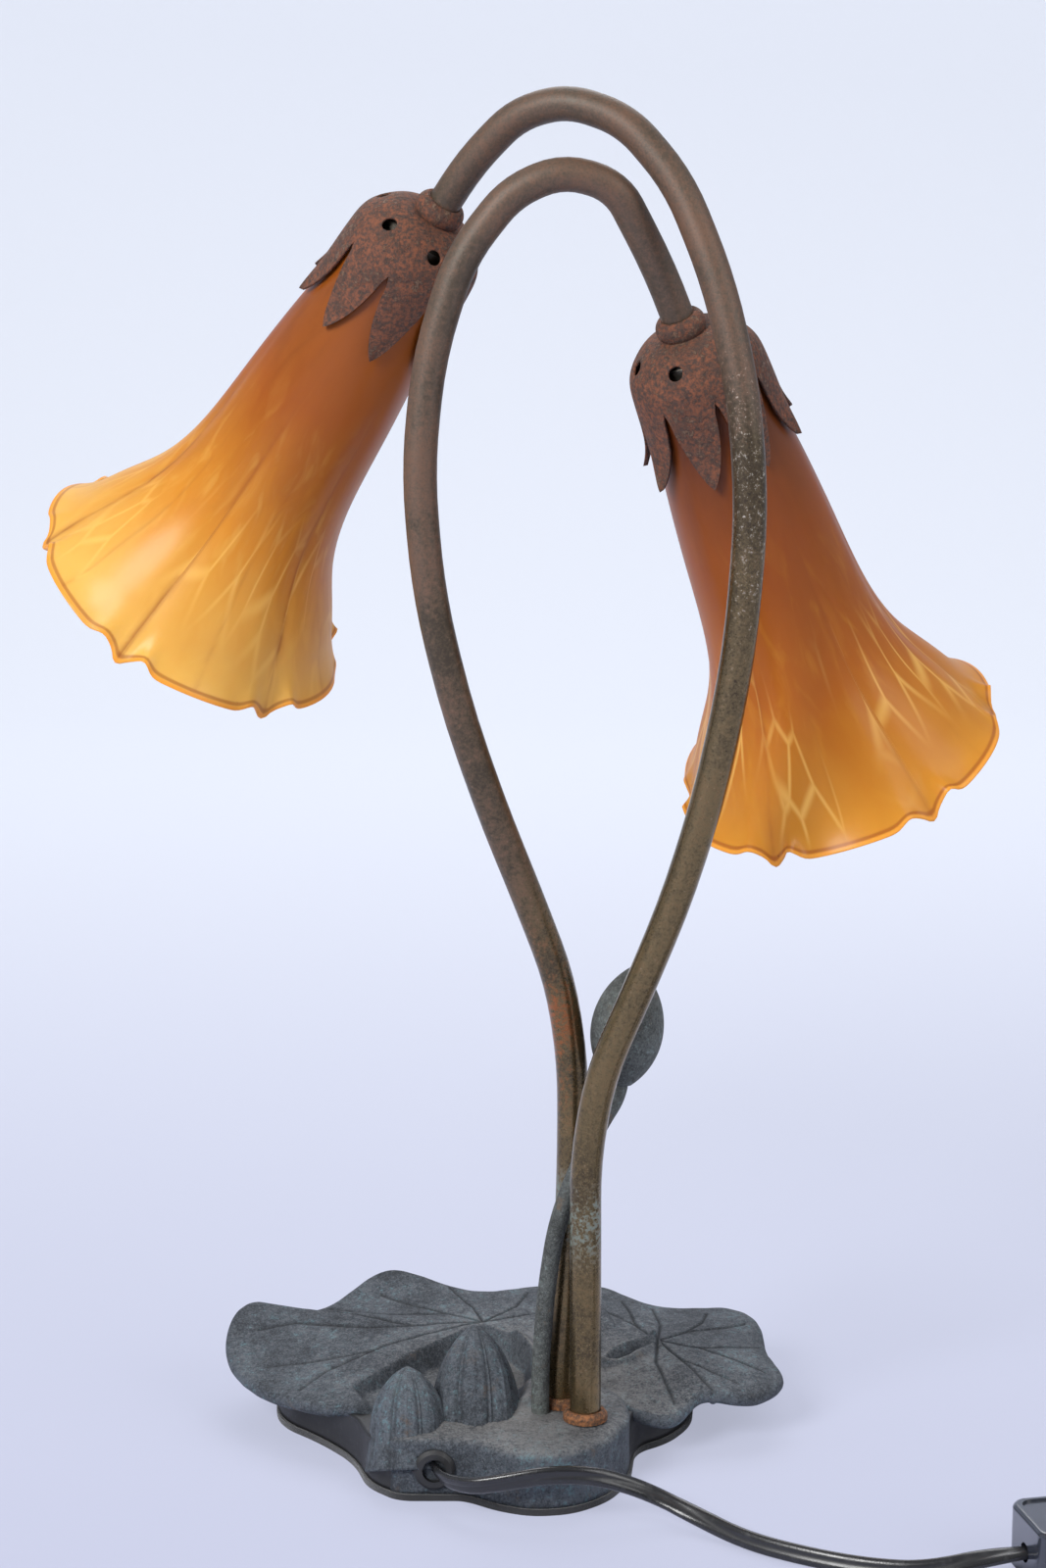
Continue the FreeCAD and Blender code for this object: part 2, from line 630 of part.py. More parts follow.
def build_calyx():
    """The pressed cap: a dome with vent holes whose skirt is cut into pointed sepals."""
    outer, inner = calyx_outline(0.0), calyx_outline(calyx_sheet)
    bore = tube_diameter / 2 + seat_gap
    edges = [line((bore, 0), outer[0]), smooth_edge(outer), line(outer[-1], inner[-1]), smooth_edge(inner),
             line(inner[0], (bore, calyx_sheet)), line((bore, calyx_sheet), (bore, 0))]
    cap = turned_wire(edges)
    low, high = slit_start, calyx_length + 1.0
    middle = low + 0.62 * (high - low)
    half = sepal_tip_gap / 2
    left = Part.Arc(Vector(10, -0.3, low), Vector(10, -0.24 * half - 0.5, middle), Vector(10, -half, high))
    right = Part.Arc(Vector(10, half, high), Vector(10, 0.24 * half + 0.5, middle), Vector(10, 0.3, low))
    slit = Part.Wire([left.toShape(), Part.LineSegment(Vector(10, -half, high), Vector(10, half, high)).toShape(),
                      right.toShape(), Part.LineSegment(Vector(10, 0.3, low), Vector(10, -0.3, low)).toShape()])
    slit = Part.Face(slit).extrude(Vector(2 * calyx_radius, 0, 0))
    cutters = []
    for k in range(sepal_count):
        copy = slit.copy()
        copy.rotate(Vector(), UP, (k + 0.5) * 360 / sepal_count)
        cutters.append(copy)
    return cap.cut(cutters)


def vent_cutters(phase):
    """Round holes through the dome, square to it."""
    cutters = []
    for k in range(vent_count):
        angle = math.radians(phase + k * 360 / vent_count)
        out = Vector(math.cos(angle), math.sin(angle), 0)
        way = unit(out * 0.78 - UP)
        start = out * vent_ring_radius + UP * 4.3 - way * 4.0
        cutters.append(Part.makeCylinder(vent_radius, 8.0, start, way))
    return cutters


def build_collar():
    """The rolled ring round the tube, above the calyx."""
    bore = tube_diameter / 2 + seat_gap
    crown = Part.Arc(Vector(bore + 0.8, 0, -collar_height), Vector(collar_radius, 0, -collar_height * 0.45),
                     Vector(collar_radius - 0.8, 0, 0))
    return turned_wire([crown.toShape(), line((collar_radius - 0.8, 0), (bore, 0)),
                        line((bore, 0), (bore, -collar_height)),
                        line((bore, -collar_height), (bore + 0.8, -collar_height))])


def build_holder_cap():
    """The lampholder's metal dome, screwed on the tube's end."""
    top = calyx_sheet
    bore = tube_diameter / 2 + seat_gap
    return turned([(bore, top), (7.4, top), (cap_radius, top + 4.2), (cap_radius, flange_depth),
                   (cap_radius - 0.8, flange_depth), (cap_radius - 0.8, top + 4.6), (7.6, top + 1.2),
                   (7.0, top + 1.2), (7.0, top + 6.5), (bore, top + 6.5)])


def build_holder_body():
    """The lampholder's body: a spigot in the cap, a flange over the glass and a threaded sleeve."""
    spigot = cap_radius - 0.8 - seat_gap
    end = holder_top + holder_length
    floor = flange_depth + 6.0
    under = flange_depth + flange_thickness
    return turned([(spigot - 1.5, holder_top), (spigot, holder_top), (spigot, flange_depth),
                   (flange_radius, flange_depth), (flange_radius, under), (holder_radius, under),
                   (holder_radius, end), (shell_radius + seat_gap, end), (shell_radius + seat_gap, floor),
                   (0, floor), (0, under), (spigot - 1.5, under)])


def build_holder_shell():
    """The screw shell and its centre contact, in the lampholder's body."""
    top = flange_depth + 6.0
    end = holder_top + holder_length - 1.0
    return turned([(0, top), (shell_radius, top), (shell_radius, end), (shell_radius - shell_wall, end),
                   (shell_radius - shell_wall, top + shell_wall), (2.4, top + shell_wall), (2.4, top + 1.6),
                   (0, top + 1.6)])


def build_shade_ring():
    """The threaded ring that clamps the glass under the flange, notched for fingers."""
    top = flange_depth + flange_thickness + shade_wall + ring_clearance
    bore = holder_radius + seat_gap
    ring = turned([(bore, top), (ring_radius, top), (ring_radius, top + ring_height), (bore, top + ring_height)])
    notches = []
    for k in range(ring_notches):
        angle = math.tau * k / ring_notches
        reach = ring_radius + 0.9
        notches.append(cylinder(1.7, top + 1.6, top + ring_height + 1, reach * math.cos(angle),
                                reach * math.sin(angle)))
    return ring.cut(notches)


def build_bulb_cap():
    """The bulb's screw cap, with its centre contact."""
    top = flange_depth + 6.0 + 1.6 + seat_gap
    low = top + 1.6
    return turned([(0, top), (2.2, top), (2.6, low - 0.5), (bulb_cap_radius, low),
                   (bulb_cap_radius, low + bulb_cap_length), (0, low + bulb_cap_length)])


def build_bulb_glass():
    """The bulb's thin glass: a globe drawn into its neck by a hollow curve, open where it stands on the cap."""
    top = flange_depth + 6.0 + 1.6 + seat_gap + 1.6 + bulb_cap_length
    neck = bulb_cap_radius - 0.8
    globe = top + bulb_length - bulb_radius
    rise = globe - top - bulb_neck_straight
    hollow = (rise ** 2 + neck ** 2 - bulb_radius ** 2) / (2 * (bulb_radius - neck))
    way = Vector(neck + hollow, 0, -rise).normalize()
    edges, ends = [], []
    for wall in (0.0, bulb_wall):
        ball, curl = bulb_radius - wall, hollow + wall
        joint = Vector(0, 0, globe) + way * ball
        ease = math.atan2(rise, neck + hollow) / 2
        waist = Vector(neck + hollow - curl * math.cos(ease), 0, globe - rise + curl * math.sin(ease))
        shoulder = Vector(neck - wall, 0, globe - rise)
        start, pole = Vector(neck - wall, 0, top), Vector(0, 0, globe + ball)
        belly = Vector(ball * math.cos(0.4), 0, globe + ball * math.sin(0.4))
        edges += [Part.LineSegment(start, shoulder).toShape(), Part.Arc(shoulder, waist, joint).toShape(),
                  Part.Arc(joint, belly, pole).toShape()]
        ends.append((start, pole))
    for a, b in zip(*ends):
        edges.append(Part.LineSegment(a, b).toShape())
    return turned_wire(edges)


def shade_radius(z):
    """The shade's outer radius at a distance down its axis, eased through the stations."""
    curve = shade_curve()
    low, high = curve.FirstParameter, curve.LastParameter
    for _ in range(40):
        middle = (low + high) / 2
        if curve.value(middle).z < z:
            low = middle
        else:
            high = middle
    return curve.value(low).x


def shade_curve():
    """The shade's profile as one smooth curve."""
    curve = Part.BSplineCurve()
    scale = shade_length / shade_profile[-1][1]
    curve.interpolate([Vector(r, 0, z * scale) for r, z in shade_profile])
    return curve


def petal_point(z, share, profile, wall):
    """A point of one petal: z down the axis of the plain profile, share 0 to 1 across the petal.

    The petal's middle flares out and curls back near the mouth, its ends run out into a nib, and
    a notch is drawn up beside the first nib.
    """
    angle = math.tau * (share - 0.5) / petal_count
    radius, slope = profile(z)
    mouth = max(0.0, (z - 0.6 * shade_length) / (0.4 * shade_length))
    lip = max(0.0, (z - 0.9 * shade_length) / (0.1 * shade_length))
    middle = math.sin(math.pi * share)
    nib = math.exp(-((min(share, 1 - share) / 0.045) ** 2))
    notch = max(0.0, math.exp(-(((share - 0.14) / 0.07) ** 2)) - 0.02)
    crease = 0.5 * math.exp(-((min(share, 1 - share) / 0.12) ** 2)) * min(1.0, max(0.0, (z - 40.0) / 40.0))
    out = petal_flare * (0.35 * mouth ** 2 + 0.65 * lip ** 2) * (middle ** 0.8 - 0.25) + nib_reach * nib * lip
    down = lip ** 2 * (nib_reach * nib - petal_curl * middle ** 1.2 * 0.8 - notch_depth * notch)
    reach = radius + out - crease - wall * math.hypot(1.0, slope)
    return Vector(reach * math.cos(angle), reach * math.sin(angle), z + down)


def petal_face(start, wall):
    """One petal's skin, from near the top of the shade to its mouth."""
    rows = [start] + [z for z in (20.0, 30.0, 42.0, 56.0, 70.0, 84.0, 96.0, 107.0, 117.0, 126.0, 134.0, 141.0,
                                  146.0, 150.0, 153.0)] + [155.0]
    rows = [z * shade_length / 155.0 if z > start else z for z in rows]
    shares = [0.0, 0.03, 0.07, 0.13, 0.2, 0.3, 0.42, 0.54, 0.66, 0.78, 0.88, 0.94, 0.97, 1.0]
    step = 0.5
    cache = {}
    for z in rows:
        slope = (shade_radius(z + step) - shade_radius(z - step)) / (2 * step) if z < shade_length - step \
            else (shade_radius(z) - shade_radius(z - step)) / step
        cache[z] = (shade_radius(z), slope if wall and z > start else 0.0)
    surface = Part.BSplineSurface()
    surface.interpolate([[petal_point(z, s, cache.get, wall) for s in shares] for z in rows])
    return surface.toShape()


def end_edge(face, z_is_low):
    """The edge of a petal's skin at its top or at its mouth."""
    edges = sorted(face.Edges, key=lambda e: e.CenterOfMass.z)
    return edges[0] if z_is_low else edges[-1]


def build_shade():
    """The blown glass: six ruffled petals inside and out, a rolled lip and a flat top with a hole."""
    top = flange_depth + flange_thickness
    outer, inner = petal_face(top, 0.0), petal_face(top + shade_wall, shade_wall)
    lip = Part.makeRuledSurface(end_edge(outer, False), end_edge(inner, False))
    skins, rims = [], {"outer": [], "inner": []}
    for k in range(petal_count):
        for face in (outer, inner, lip):
            copy = face.copy()
            copy.rotate(Vector(), UP, k * 360 / petal_count)
            skins.append(copy)
        for name, face in (("outer", outer), ("inner", inner)):
            edge = end_edge(face, True).copy()
            edge.rotate(Vector(), UP, k * 360 / petal_count)
            rims[name].append(edge)
    hole = holder_radius + shade_hole_gap
    for name, z in (("outer", top), ("inner", top + shade_wall)):
        circle = Part.Wire(Part.makeCircle(hole, Vector(0, 0, z), UP))
        rim = Part.Wire(Part.sortEdges(rims[name])[0])
        skins.append(Part.Face([rim, circle]))
    skins.append(Part.makeCylinder(hole, shade_wall, Vector(0, 0, top), UP).Faces[0])
    shell = Part.makeShell(skins)
    shell.sewShape(0.01)
    shade = Part.makeSolid(shell.Shells[0] if hasattr(shell, "Shells") else shell)
    if shade.Volume < 0:
        shade.reverse()
    return shade


def build_light(name, light, nib_phase, sepal_phase, vent_phase):
    """Every piece of one light, set on the end of its tube."""
    origin, axis = light
    calyx = placed(build_calyx(), origin, axis, sepal_phase)
    vents = Part.makeCompound(vent_cutters(vent_phase))
    calyx = calyx.cut(placed(vents, origin, axis))
    pieces = {"collar": build_collar(), "holder_cap": build_holder_cap(), "holder_body": build_holder_body(),
              "holder_shell": build_holder_shell(), "shade_ring": build_shade_ring(),
              "bulb_cap": build_bulb_cap(), "bulb_glass": build_bulb_glass()}
    parts = {f"{name}_{piece}": placed(shape, origin, axis) for piece, shape in pieces.items()}
    parts[f"{name}_calyx"] = calyx
    parts[f"{name}_shade"] = placed(build_shade(), origin, axis, nib_phase)
    return parts


# ---------------------------------------------------------------- cord, switch and plug
def switch_frame():
    """Where the switch lies: its middle on the floor and its heading."""
    return FreeCAD.Placement(Vector(*switch_centre, 0), FreeCAD.Rotation(UP, switch_heading))


def switch_end(side, inside):
    """A point on the cord's line at one end of the switch, a distance inside that end."""
    x = side * (switch_length / 2 - inside)
    return tuple(switch_frame().multVec(Vector(x, 0, switch_cord_z)))


def coil_point(turns):
    """A point of the coil and its heading, after a number of turns from its outer start.

    The turns spiral in on the floor, climb one layer in the half turn at the middle, and spiral out.
    """
    def place(t):
        angle = math.radians(coil_start_angle) + math.tau * t
        middle = coil_turns / 2
        radius = coil_outer_radius - cord_pitch * (middle - math.sqrt((t - middle) ** 2 + 0.02) )
        climb = min(1.0, max(0.0, (t - middle + 0.25) / 0.5))
        z = cord_diameter / 2 + cord_pitch * (3 * climb ** 2 - 2 * climb ** 3)
        return Vector(coil_centre[0] + radius * math.cos(angle), coil_centre[1] + radius * math.sin(angle), z)

    step = 1e-4
    return place(turns), unit(place(turns + step) - place(turns - step))


def coil_ends():
    """The coil's first and last points with their level headings."""
    ends = []
    for turns in (0.0, float(coil_turns)):
        point, heading = coil_point(turns)
        ends.append((point, heading))
    return ends


def build_coil():
    """The put-away cord: one unbroken tube in two layers, on arcs of a quarter turn."""
    stations = [coil_point(k / 4) for k in range(4 * coil_turns + 1)]
    points = [p for p, _ in stations]
    tangents = [t for _, t in stations]
    edges = biarc_path(points, tangents)
    first = Part.LineSegment(points[0] - tangents[0] * cord_diameter, points[0]).toShape()
    last = Part.LineSegment(points[-1], points[-1] + tangents[-1] * cord_diameter).toShape()
    path = Part.Wire([first] + edges + [last])
    walk = path.discretize(Distance=2.0)
    far = int(3 * cord_diameter / 2.0)
    gap = min((a - b).Length for i, a in enumerate(walk) for b in walk[i + far:]) - cord_diameter
    print("coil length", round(path.Length, 1), "least gap to itself", round(gap, 2))
    return pipe(path, cord_diameter)


def build_stretch(name, points):
    """A free stretch of the cord."""
    path, radii = rounded_path(points)
    solid = pipe(path, cord_diameter)
    share = solid.Volume / (math.pi * cord_diameter ** 2 / 4 * path.Length)
    print(name, "length", round(path.Length, 1), "radii", [round(r) for r in radii], "volume", round(share, 4))
    return solid


def stretches():
    """The three free stretches: foot to switch, switch to coil, coil to plug."""
    (start, start_heading), (end, end_heading) = coil_ends()
    into_coil = start - start_heading * cord_diameter
    out_of_coil = end + end_heading * cord_diameter
    lead = lead_route + [switch_end(-1, -switch_cord_straight), switch_end(-1, switch_cord_depth)]
    middle = [switch_end(1, switch_cord_depth), switch_end(1, -switch_cord_straight)] + middle_route + [tuple(into_coil - start_heading * 12.0), tuple(into_coil)]
    tail = [tuple(out_of_coil), tuple(out_of_coil + end_heading * 9.0)] + tail_route
    tail += [(plug_centre_x, plug_start_y - 4.0, plug_thickness / 2), (plug_centre_x, plug_start_y + 6.0,
                                                                       plug_thickness / 2)]
    return {"cord_lead": lead, "cord_middle": middle, "cord_tail": tail}


def switch_shell(low, high):
    """One half of the switch's case as a hollow rounded tray, in the switch's own frame."""
    half_length, half_width = switch_length / 2, switch_width / 2
    outer = block((-half_length, -half_width, low), (half_length, half_width, high))
    outer = outer.makeFillet(switch_corner, [e for e in outer.Edges if abs(e.tangentAt(0).z) > 0.9])
    inner = block((-half_length + switch_wall, -half_width + switch_wall, low - overrun),
                  (half_length - switch_wall, half_width - switch_wall, high + overrun))
    inner = inner.makeFillet(switch_corner - switch_wall,
                             [e for e in inner.Edges if abs(e.tangentAt(0).z) > 0.9])
    return outer, inner


def cord_holes():
    """The cord's way into both ends of the switch."""
    return Part.makeCylinder(cord_diameter / 2 + seat_gap, switch_length + 2 * overrun,
                             Vector(-switch_length / 2 - overrun, 0, switch_cord_z), Vector(1, 0, 0))


def screw_bosses(low, high, radius):
    """Posts, or their holes, at the switch's two screws."""
    reach = switch_length / 2 - 12.0
    return [cylinder(radius, low, high, side * reach, side * (switch_width / 2 - 6.0)) for side in (-1, 1)]


def build_switch():
    """The in-line switch: two covers, a rocker on its pin, terminals and screws."""
    frame = switch_frame()
    floor, roof = switch_wall, switch_height - switch_wall
    outer, inner = switch_shell(0.0, switch_split)
    bottom = outer.cut(inner.common(block((-99, -99, floor), (99, 99, 99))))
    bottom = bottom.fuse(screw_bosses(floor, switch_split, 3.2)).cut(screw_bosses(-1, switch_split + 1, 1.6))
    bottom = bottom.cut(screw_bosses(-1, 1.6, 2.9)).cut(cord_holes())
    outer, inner = switch_shell(switch_split, switch_height)
    top_edges = [e for e in outer.Edges if e.BoundBox.ZMin > switch_height - 0.01]
    outer = outer.makeFillet(1.6, top_edges)
    top = outer.cut(inner.common(block((-99, -99, 0), (99, 99, roof))))
    top = top.fuse(screw_bosses(switch_split, roof, 3.2)).cut(screw_bosses(switch_split - 1, roof - 1, 1.25))
    opening = (rocker_length / 2 + 0.3 + rocker_gap, rocker_width / 2 + rocker_gap)
    cheeks = []
    for side in (-1, 1):
        inner_y, outer_y = side * opening[1], side * (opening[1] + 2.0)
        cheeks.append(block((-4.0, min(inner_y, outer_y), pivot_z - 3.0), (4.0, max(inner_y, outer_y), roof)))
    top = top.fuse(cheeks)
    top = top.cut(block((-opening[0], -opening[1], roof - 1), (opening[0], opening[1], switch_height + 1)))
    pin_hole = Part.makeCylinder(pivot_radius + 0.02, 2 * opening[1] + 6, Vector(0, -opening[1] - 3, pivot_z),
                                 Vector(0, 1, 0))
    top = top.cut([pin_hole, cord_holes()])
    recess = Part.Face(switch_plan(2.4)).extrude(Vector(0, 0, 2))
    recess.translate(Vector(0, 0, switch_height - 0.7))
    top = top.cut(recess)
    pin = Part.makeCylinder(pivot_radius, 2 * opening[1] + 4, Vector(0, -opening[1] - 2, pivot_z),
                            Vector(0, 1, 0))
    rocker = build_rocker()
    terminals = []
    for side in (-1, 1):
        low_x, high_x = sorted((side * 13.5, side * (switch_length / 2 - switch_cord_depth - 0.5)))
        terminals.append(block((low_x, -4.2, floor), (high_x, 4.2, pivot_z - 3.4)))
    screws = []
    for x, y in [(side * (switch_length / 2 - 12.0), side * (switch_width / 2 - 6.0)) for side in (-1, 1)]:
        screw = cylinder(2.7, 0.3, 1.6, x, y).fuse(cylinder(1.2, 1.6, roof - 2, x, y))
        screws.append(screw.cut(block((x - 0.3, y - 3, 0), (x + 0.3, y + 3, 0.9))))
    pieces = {"switch_bottom_cover": bottom, "switch_top_cover": top, "switch_pivot_pin": pin,
              "switch_rocker": rocker, "switch_terminals": Part.makeCompound(terminals),
              "switch_screws": Part.makeCompound(screws)}
    for shape in pieces.values():
        shape.Placement = frame * shape.Placement
    return pieces


def switch_plan(margin):
    """The switch's plan, moved in by a margin, with rounded corners."""
    x, y = switch_length / 2 - margin, switch_width / 2 - margin
    outline = block((-x, -y, 0), (x, y, 1))
    outline = outline.makeFillet(switch_corner - margin / 2,
                                 [e for e in outline.Edges if abs(e.tangentAt(0).z) > 0.9])
    faces = [f for f in outline.Faces if f.BoundBox.ZMax < 0.01]
    return faces[0].OuterWire


def build_rocker():
    """The rocker: a V-topped key on the pin, resting on its tilted side."""
    half, top, low = rocker_length / 2, switch_height + rocker_rise - pivot_z, -2.4
    outline = [(-half, low + 3.4), (-3.0, low), (3.0, low), (half, low + 3.4), (half, top), (0.0, top - 1.6),
               (-half, top)]
    corners = [Vector(x, -rocker_width / 2, z) for x, z in outline]
    key = Part.Face(Part.makePolygon(corners + corners[:1])).extrude(Vector(0, rocker_width, 0))
    ends = Part.makeCylinder(half + 0.3, 2 * rocker_width, Vector(0, -rocker_width, 0), Vector(0, 1, 0))
    bore = Part.makeCylinder(pivot_radius + 0.06, 2 * rocker_width, Vector(0, -rocker_width, 0), Vector(0, 1, 0))
    key = key.common(ends).cut(bore)
    key.rotate(Vector(), Vector(0, 1, 0), rocker_tilt)
    key.translate(Vector(0, 0, pivot_z))
    return key


def build_plug():
    """The flat two-pin plug: a tapered boot, a moulded body and two round pins."""
    x, z = plug_centre_x, plug_thickness / 2
    y_body = plug_start_y + plug_boot_length
    y_face = y_body + plug_body_length

    def section(y, width, height, corner):
        low = Vector(x - width / 2, y, z - height / 2)
        slab = Part.makeBox(width, 1.0, height, low)
        slab = slab.makeFillet(corner, [e for e in slab.Edges if abs(e.tangentAt(0).y) > 0.9])
        return [f for f in slab.Faces if f.BoundBox.YMax < y + 0.01][0].OuterWire

    body = Part.makeLoft([section(y_body, 18.0, plug_thickness - 1.0, 4.0),
                          section(y_body + 10.0, plug_width - 6.0, plug_thickness, 4.0),
                          section(y_face - 8.0, plug_width, plug_thickness, 4.0),
                          section(y_face, plug_width - 3.0, plug_thickness - 1.0, 4.0)], True, True)
    hole = cord_diameter / 2 + seat_gap
    boot = Part.makeCone(hole + 1.2, 5.6, plug_boot_length, Vector(x, plug_start_y, z), Vector(0, 1, 0))
    boot = boot.cut(Part.makeCylinder(hole, 6.0, Vector(x, plug_start_y, z), Vector(0, 1, 0)))
    grooves = []
    for k in range(4):
        y = plug_start_y + 5.0 + 4.2 * k
        ring = Part.makeCylinder(9, 1.4, Vector(x, y, z), Vector(0, 1, 0))
        core = Part.makeCylinder(hole + 0.8 + 0.45 * k, 1.4, Vector(x, y, z), Vector(0, 1, 0))
        grooves.append(ring.cut(core))
    boot = boot.cut(grooves)
    pins = []
    for side in (-1, 1):
        base = Vector(x + side * pin_spacing / 2, y_face, z)
        pin = Part.makeCylinder(pin_radius, pin_length, base, Vector(0, 1, 0))
        pins.append(pin.makeFillet(1.2, [e for e in pin.Edges if e.BoundBox.YMin > y_face + pin_length - 0.1]))
    return {"plug_body": body, "plug_boot": boot, "plug_pins": Part.makeCompound(pins)}


# ---------------------------------------------------------------- the lamp
def build_lamp():
    """Every node of the lamp by name."""
    foot = inset(foot_outline, -felt_overhang, 0.0, felt_thickness)
    parts = {"foot_casting": build_foot(), "foot_felt": foot, "foot_ballast_plate": build_ballast(),
             "ballast_screws": build_ballast_screws(), "cord_grommet": build_grommet(),
             "cord_clamp": build_clamp(), "tube_lock_nuts": build_foot_nuts(),
             "tube_foot_washers": build_foot_washers(), "wire_crimps": build_crimps(),
             "upper_tube": build_tube(upper_foot, upper_route, upper_light),
             "lower_tube": build_tube(lower_foot, lower_route, lower_light),
             "upper_flex": build_flex(upper_foot, upper_route, upper_light, crimp_places[0]),
             "lower_flex": build_flex(lower_foot, lower_route, lower_light, crimp_places[1]),
             "bud_stem": build_stem(), "free_bud": build_free_bud()}
    parts.update(build_light("upper", upper_light, *upper_phases))
    parts.update(build_light("lower", lower_light, *lower_phases))
    for name, points in stretches().items():
        parts[name] = build_stretch(name, points)
    parts["cord_coil"] = build_coil()
    parts.update(build_switch())
    parts.update(build_plug())
    return parts


os.makedirs("parts", exist_ok=True)
for node, solid in build_lamp().items():
    print(node, "valid" if solid.isValid() else "NOT VALID", len(solid.Solids), round(solid.Volume, 1))
    solid.exportStep(f"parts/{node}.step")
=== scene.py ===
"""Tulip shade table lamp: its looks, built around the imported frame, and a plain studio round it."""
import logging
import math
from dataclasses import dataclass, field
from enum import Enum
from typing import Any, Sequence

import bmesh
import bpy
import numpy as np
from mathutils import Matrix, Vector


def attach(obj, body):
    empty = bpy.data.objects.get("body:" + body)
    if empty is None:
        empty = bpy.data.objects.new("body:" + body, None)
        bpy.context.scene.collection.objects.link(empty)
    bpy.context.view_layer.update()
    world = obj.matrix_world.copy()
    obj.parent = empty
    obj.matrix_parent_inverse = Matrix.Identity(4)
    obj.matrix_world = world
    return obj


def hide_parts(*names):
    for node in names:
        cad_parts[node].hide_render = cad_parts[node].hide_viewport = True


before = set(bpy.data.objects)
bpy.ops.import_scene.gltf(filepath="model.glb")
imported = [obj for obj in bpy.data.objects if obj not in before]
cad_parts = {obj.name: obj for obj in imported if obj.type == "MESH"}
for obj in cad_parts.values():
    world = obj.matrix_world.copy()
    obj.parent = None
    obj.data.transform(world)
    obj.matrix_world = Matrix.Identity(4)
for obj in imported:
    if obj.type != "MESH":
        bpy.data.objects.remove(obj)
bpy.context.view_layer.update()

MM = 0.001
TAU = math.tau
BODY = "lamp"
WELD, THIN = 2e-6, 1e-7
Point = tuple[float, float, float]
Colour = tuple[float, float, float]
Light = tuple[Point, Point]
log = logging.getLogger("lamp")


# ---------------------------------------------------------------- arithmetic of shapes
def smoothstep(low: float, high: float, x: np.ndarray) -> np.ndarray:
    """Eased share of the way from low to high: 3t squared less 2t cubed.

    Args:
        low: Where the share is 0.
        high: Where the share is 1.
        x: The values to ease.

    Returns:
        The share at each value.
    """
    t = np.clip((x - low) / (high - low), 0.0, 1.0)
    return t * t * (3.0 - 2.0 * t)


def hump(x: np.ndarray, width: float) -> np.ndarray:
    """Bell curve of height 1: e to the minus square of x over the width."""
    return np.exp(-((x / width) ** 2))


def cubic(knots: np.ndarray, values: np.ndarray, at: np.ndarray, periodic: bool = False) -> np.ndarray:
    """A cubic spline through values: slopes solve the usual three-term equations for equal curvature.

    Args:
        knots: Increasing parameters, one per value, and one more for the period where periodic.
        values: Rows of numbers to pass through.
        at: Parameters to evaluate.
        periodic: True where the last value runs on into the first.

    Returns:
        The spline's value at each parameter.
    """
    values = np.asarray(values, float).reshape(len(values), -1)
    if periodic:
        values = np.vstack([values, values[:1]])
        at = knots[0] + np.mod(at - knots[0], knots[-1] - knots[0])
    step = np.diff(knots)
    rise = np.diff(values, axis=0) / step[:, None]
    count = len(knots)
    matrix = np.zeros((count, count))
    right = np.zeros_like(values)
    inner = np.arange(1, count - 1)
    matrix[inner, inner - 1] = step[1:]
    matrix[inner, inner] = 2.0 * (step[:-1] + step[1:])
    matrix[inner, inner + 1] = step[:-1]
    right[1:-1] = 3.0 * (step[1:, None] * rise[:-1] + step[:-1, None] * rise[1:])
    if periodic:
        matrix[0, 0], matrix[0, -1] = 1.0, -1.0
        matrix[-1, [0, 1]] = 2.0 * step[-1], step[-1]
        matrix[-1, [-1, -2]] += 2.0 * step[0], step[0]
        right[-1] = 3.0 * (step[-1] * rise[0] + step[0] * rise[-1])
    else:
        matrix[0, [0, 1]] = 2.0, 1.0
        matrix[-1, [-1, -2]] = 2.0, 1.0
        right[0], right[-1] = 3.0 * rise[0], 3.0 * rise[-1]
    slope = np.linalg.solve(matrix, right)
    k = np.clip(np.searchsorted(knots, at, side="right") - 1, 0, count - 2)
    h = step[k][:, None]
    t = ((at - knots[k]) / step[k])[:, None]
    return ((2 * t ** 3 - 3 * t ** 2 + 1) * values[k] + (t ** 3 - 2 * t ** 2 + t) * h * slope[k]
            + (3 * t ** 2 - 2 * t ** 3) * values[k + 1] + (t ** 3 - t ** 2) * h * slope[k + 1])


def to_line(points: np.ndarray, line: Sequence[Sequence[float]]) -> np.ndarray:
    """Distance in plan from each point to a broken line: the least over its runs.

    Args:
        points: Points whose first two columns are their plan.
        line: Corners of the line in plan.

    Returns:
        The distances.
    """
    corners = np.asarray(line, float)[:, :2]
    start, run = corners[:-1], np.diff(corners, axis=0)
    away = points[..., None, :2] - start
    share = np.clip((away * run).sum(-1) / (run ** 2).sum(-1), 0.0, 1.0)
    return np.sqrt(((away - share[..., None] * run) ** 2).sum(-1)).min(-1)


def inside(points: np.ndarray, outline: Sequence[Sequence[float]]) -> np.ndarray:
    """Signed distance in plan to a closed outline, above zero inside: a line to the right crosses it an odd time.

    Args:
        points: Points whose first two columns are their plan.
        outline: Corners of the outline in plan.

    Returns:
        The distances.
    """
    corners = np.asarray(outline, float)[:, :2]
    ends = np.roll(corners, -1, axis=0)
    y = points[..., None, 1]
    between = (corners[:, 1] > y) != (ends[:, 1] > y)
    drop = np.where(ends[:, 1] == corners[:, 1], 1e-9, ends[:, 1] - corners[:, 1])
    crossing = (ends[:, 0] - corners[:, 0]) * (y - corners[:, 1]) / drop + corners[:, 0]
    odd = (between & (points[..., None, 0] < crossing)).sum(-1) % 2
    return np.where(odd == 1, 1.0, -1.0) * to_line(points, np.vstack([corners, corners[:1]]))


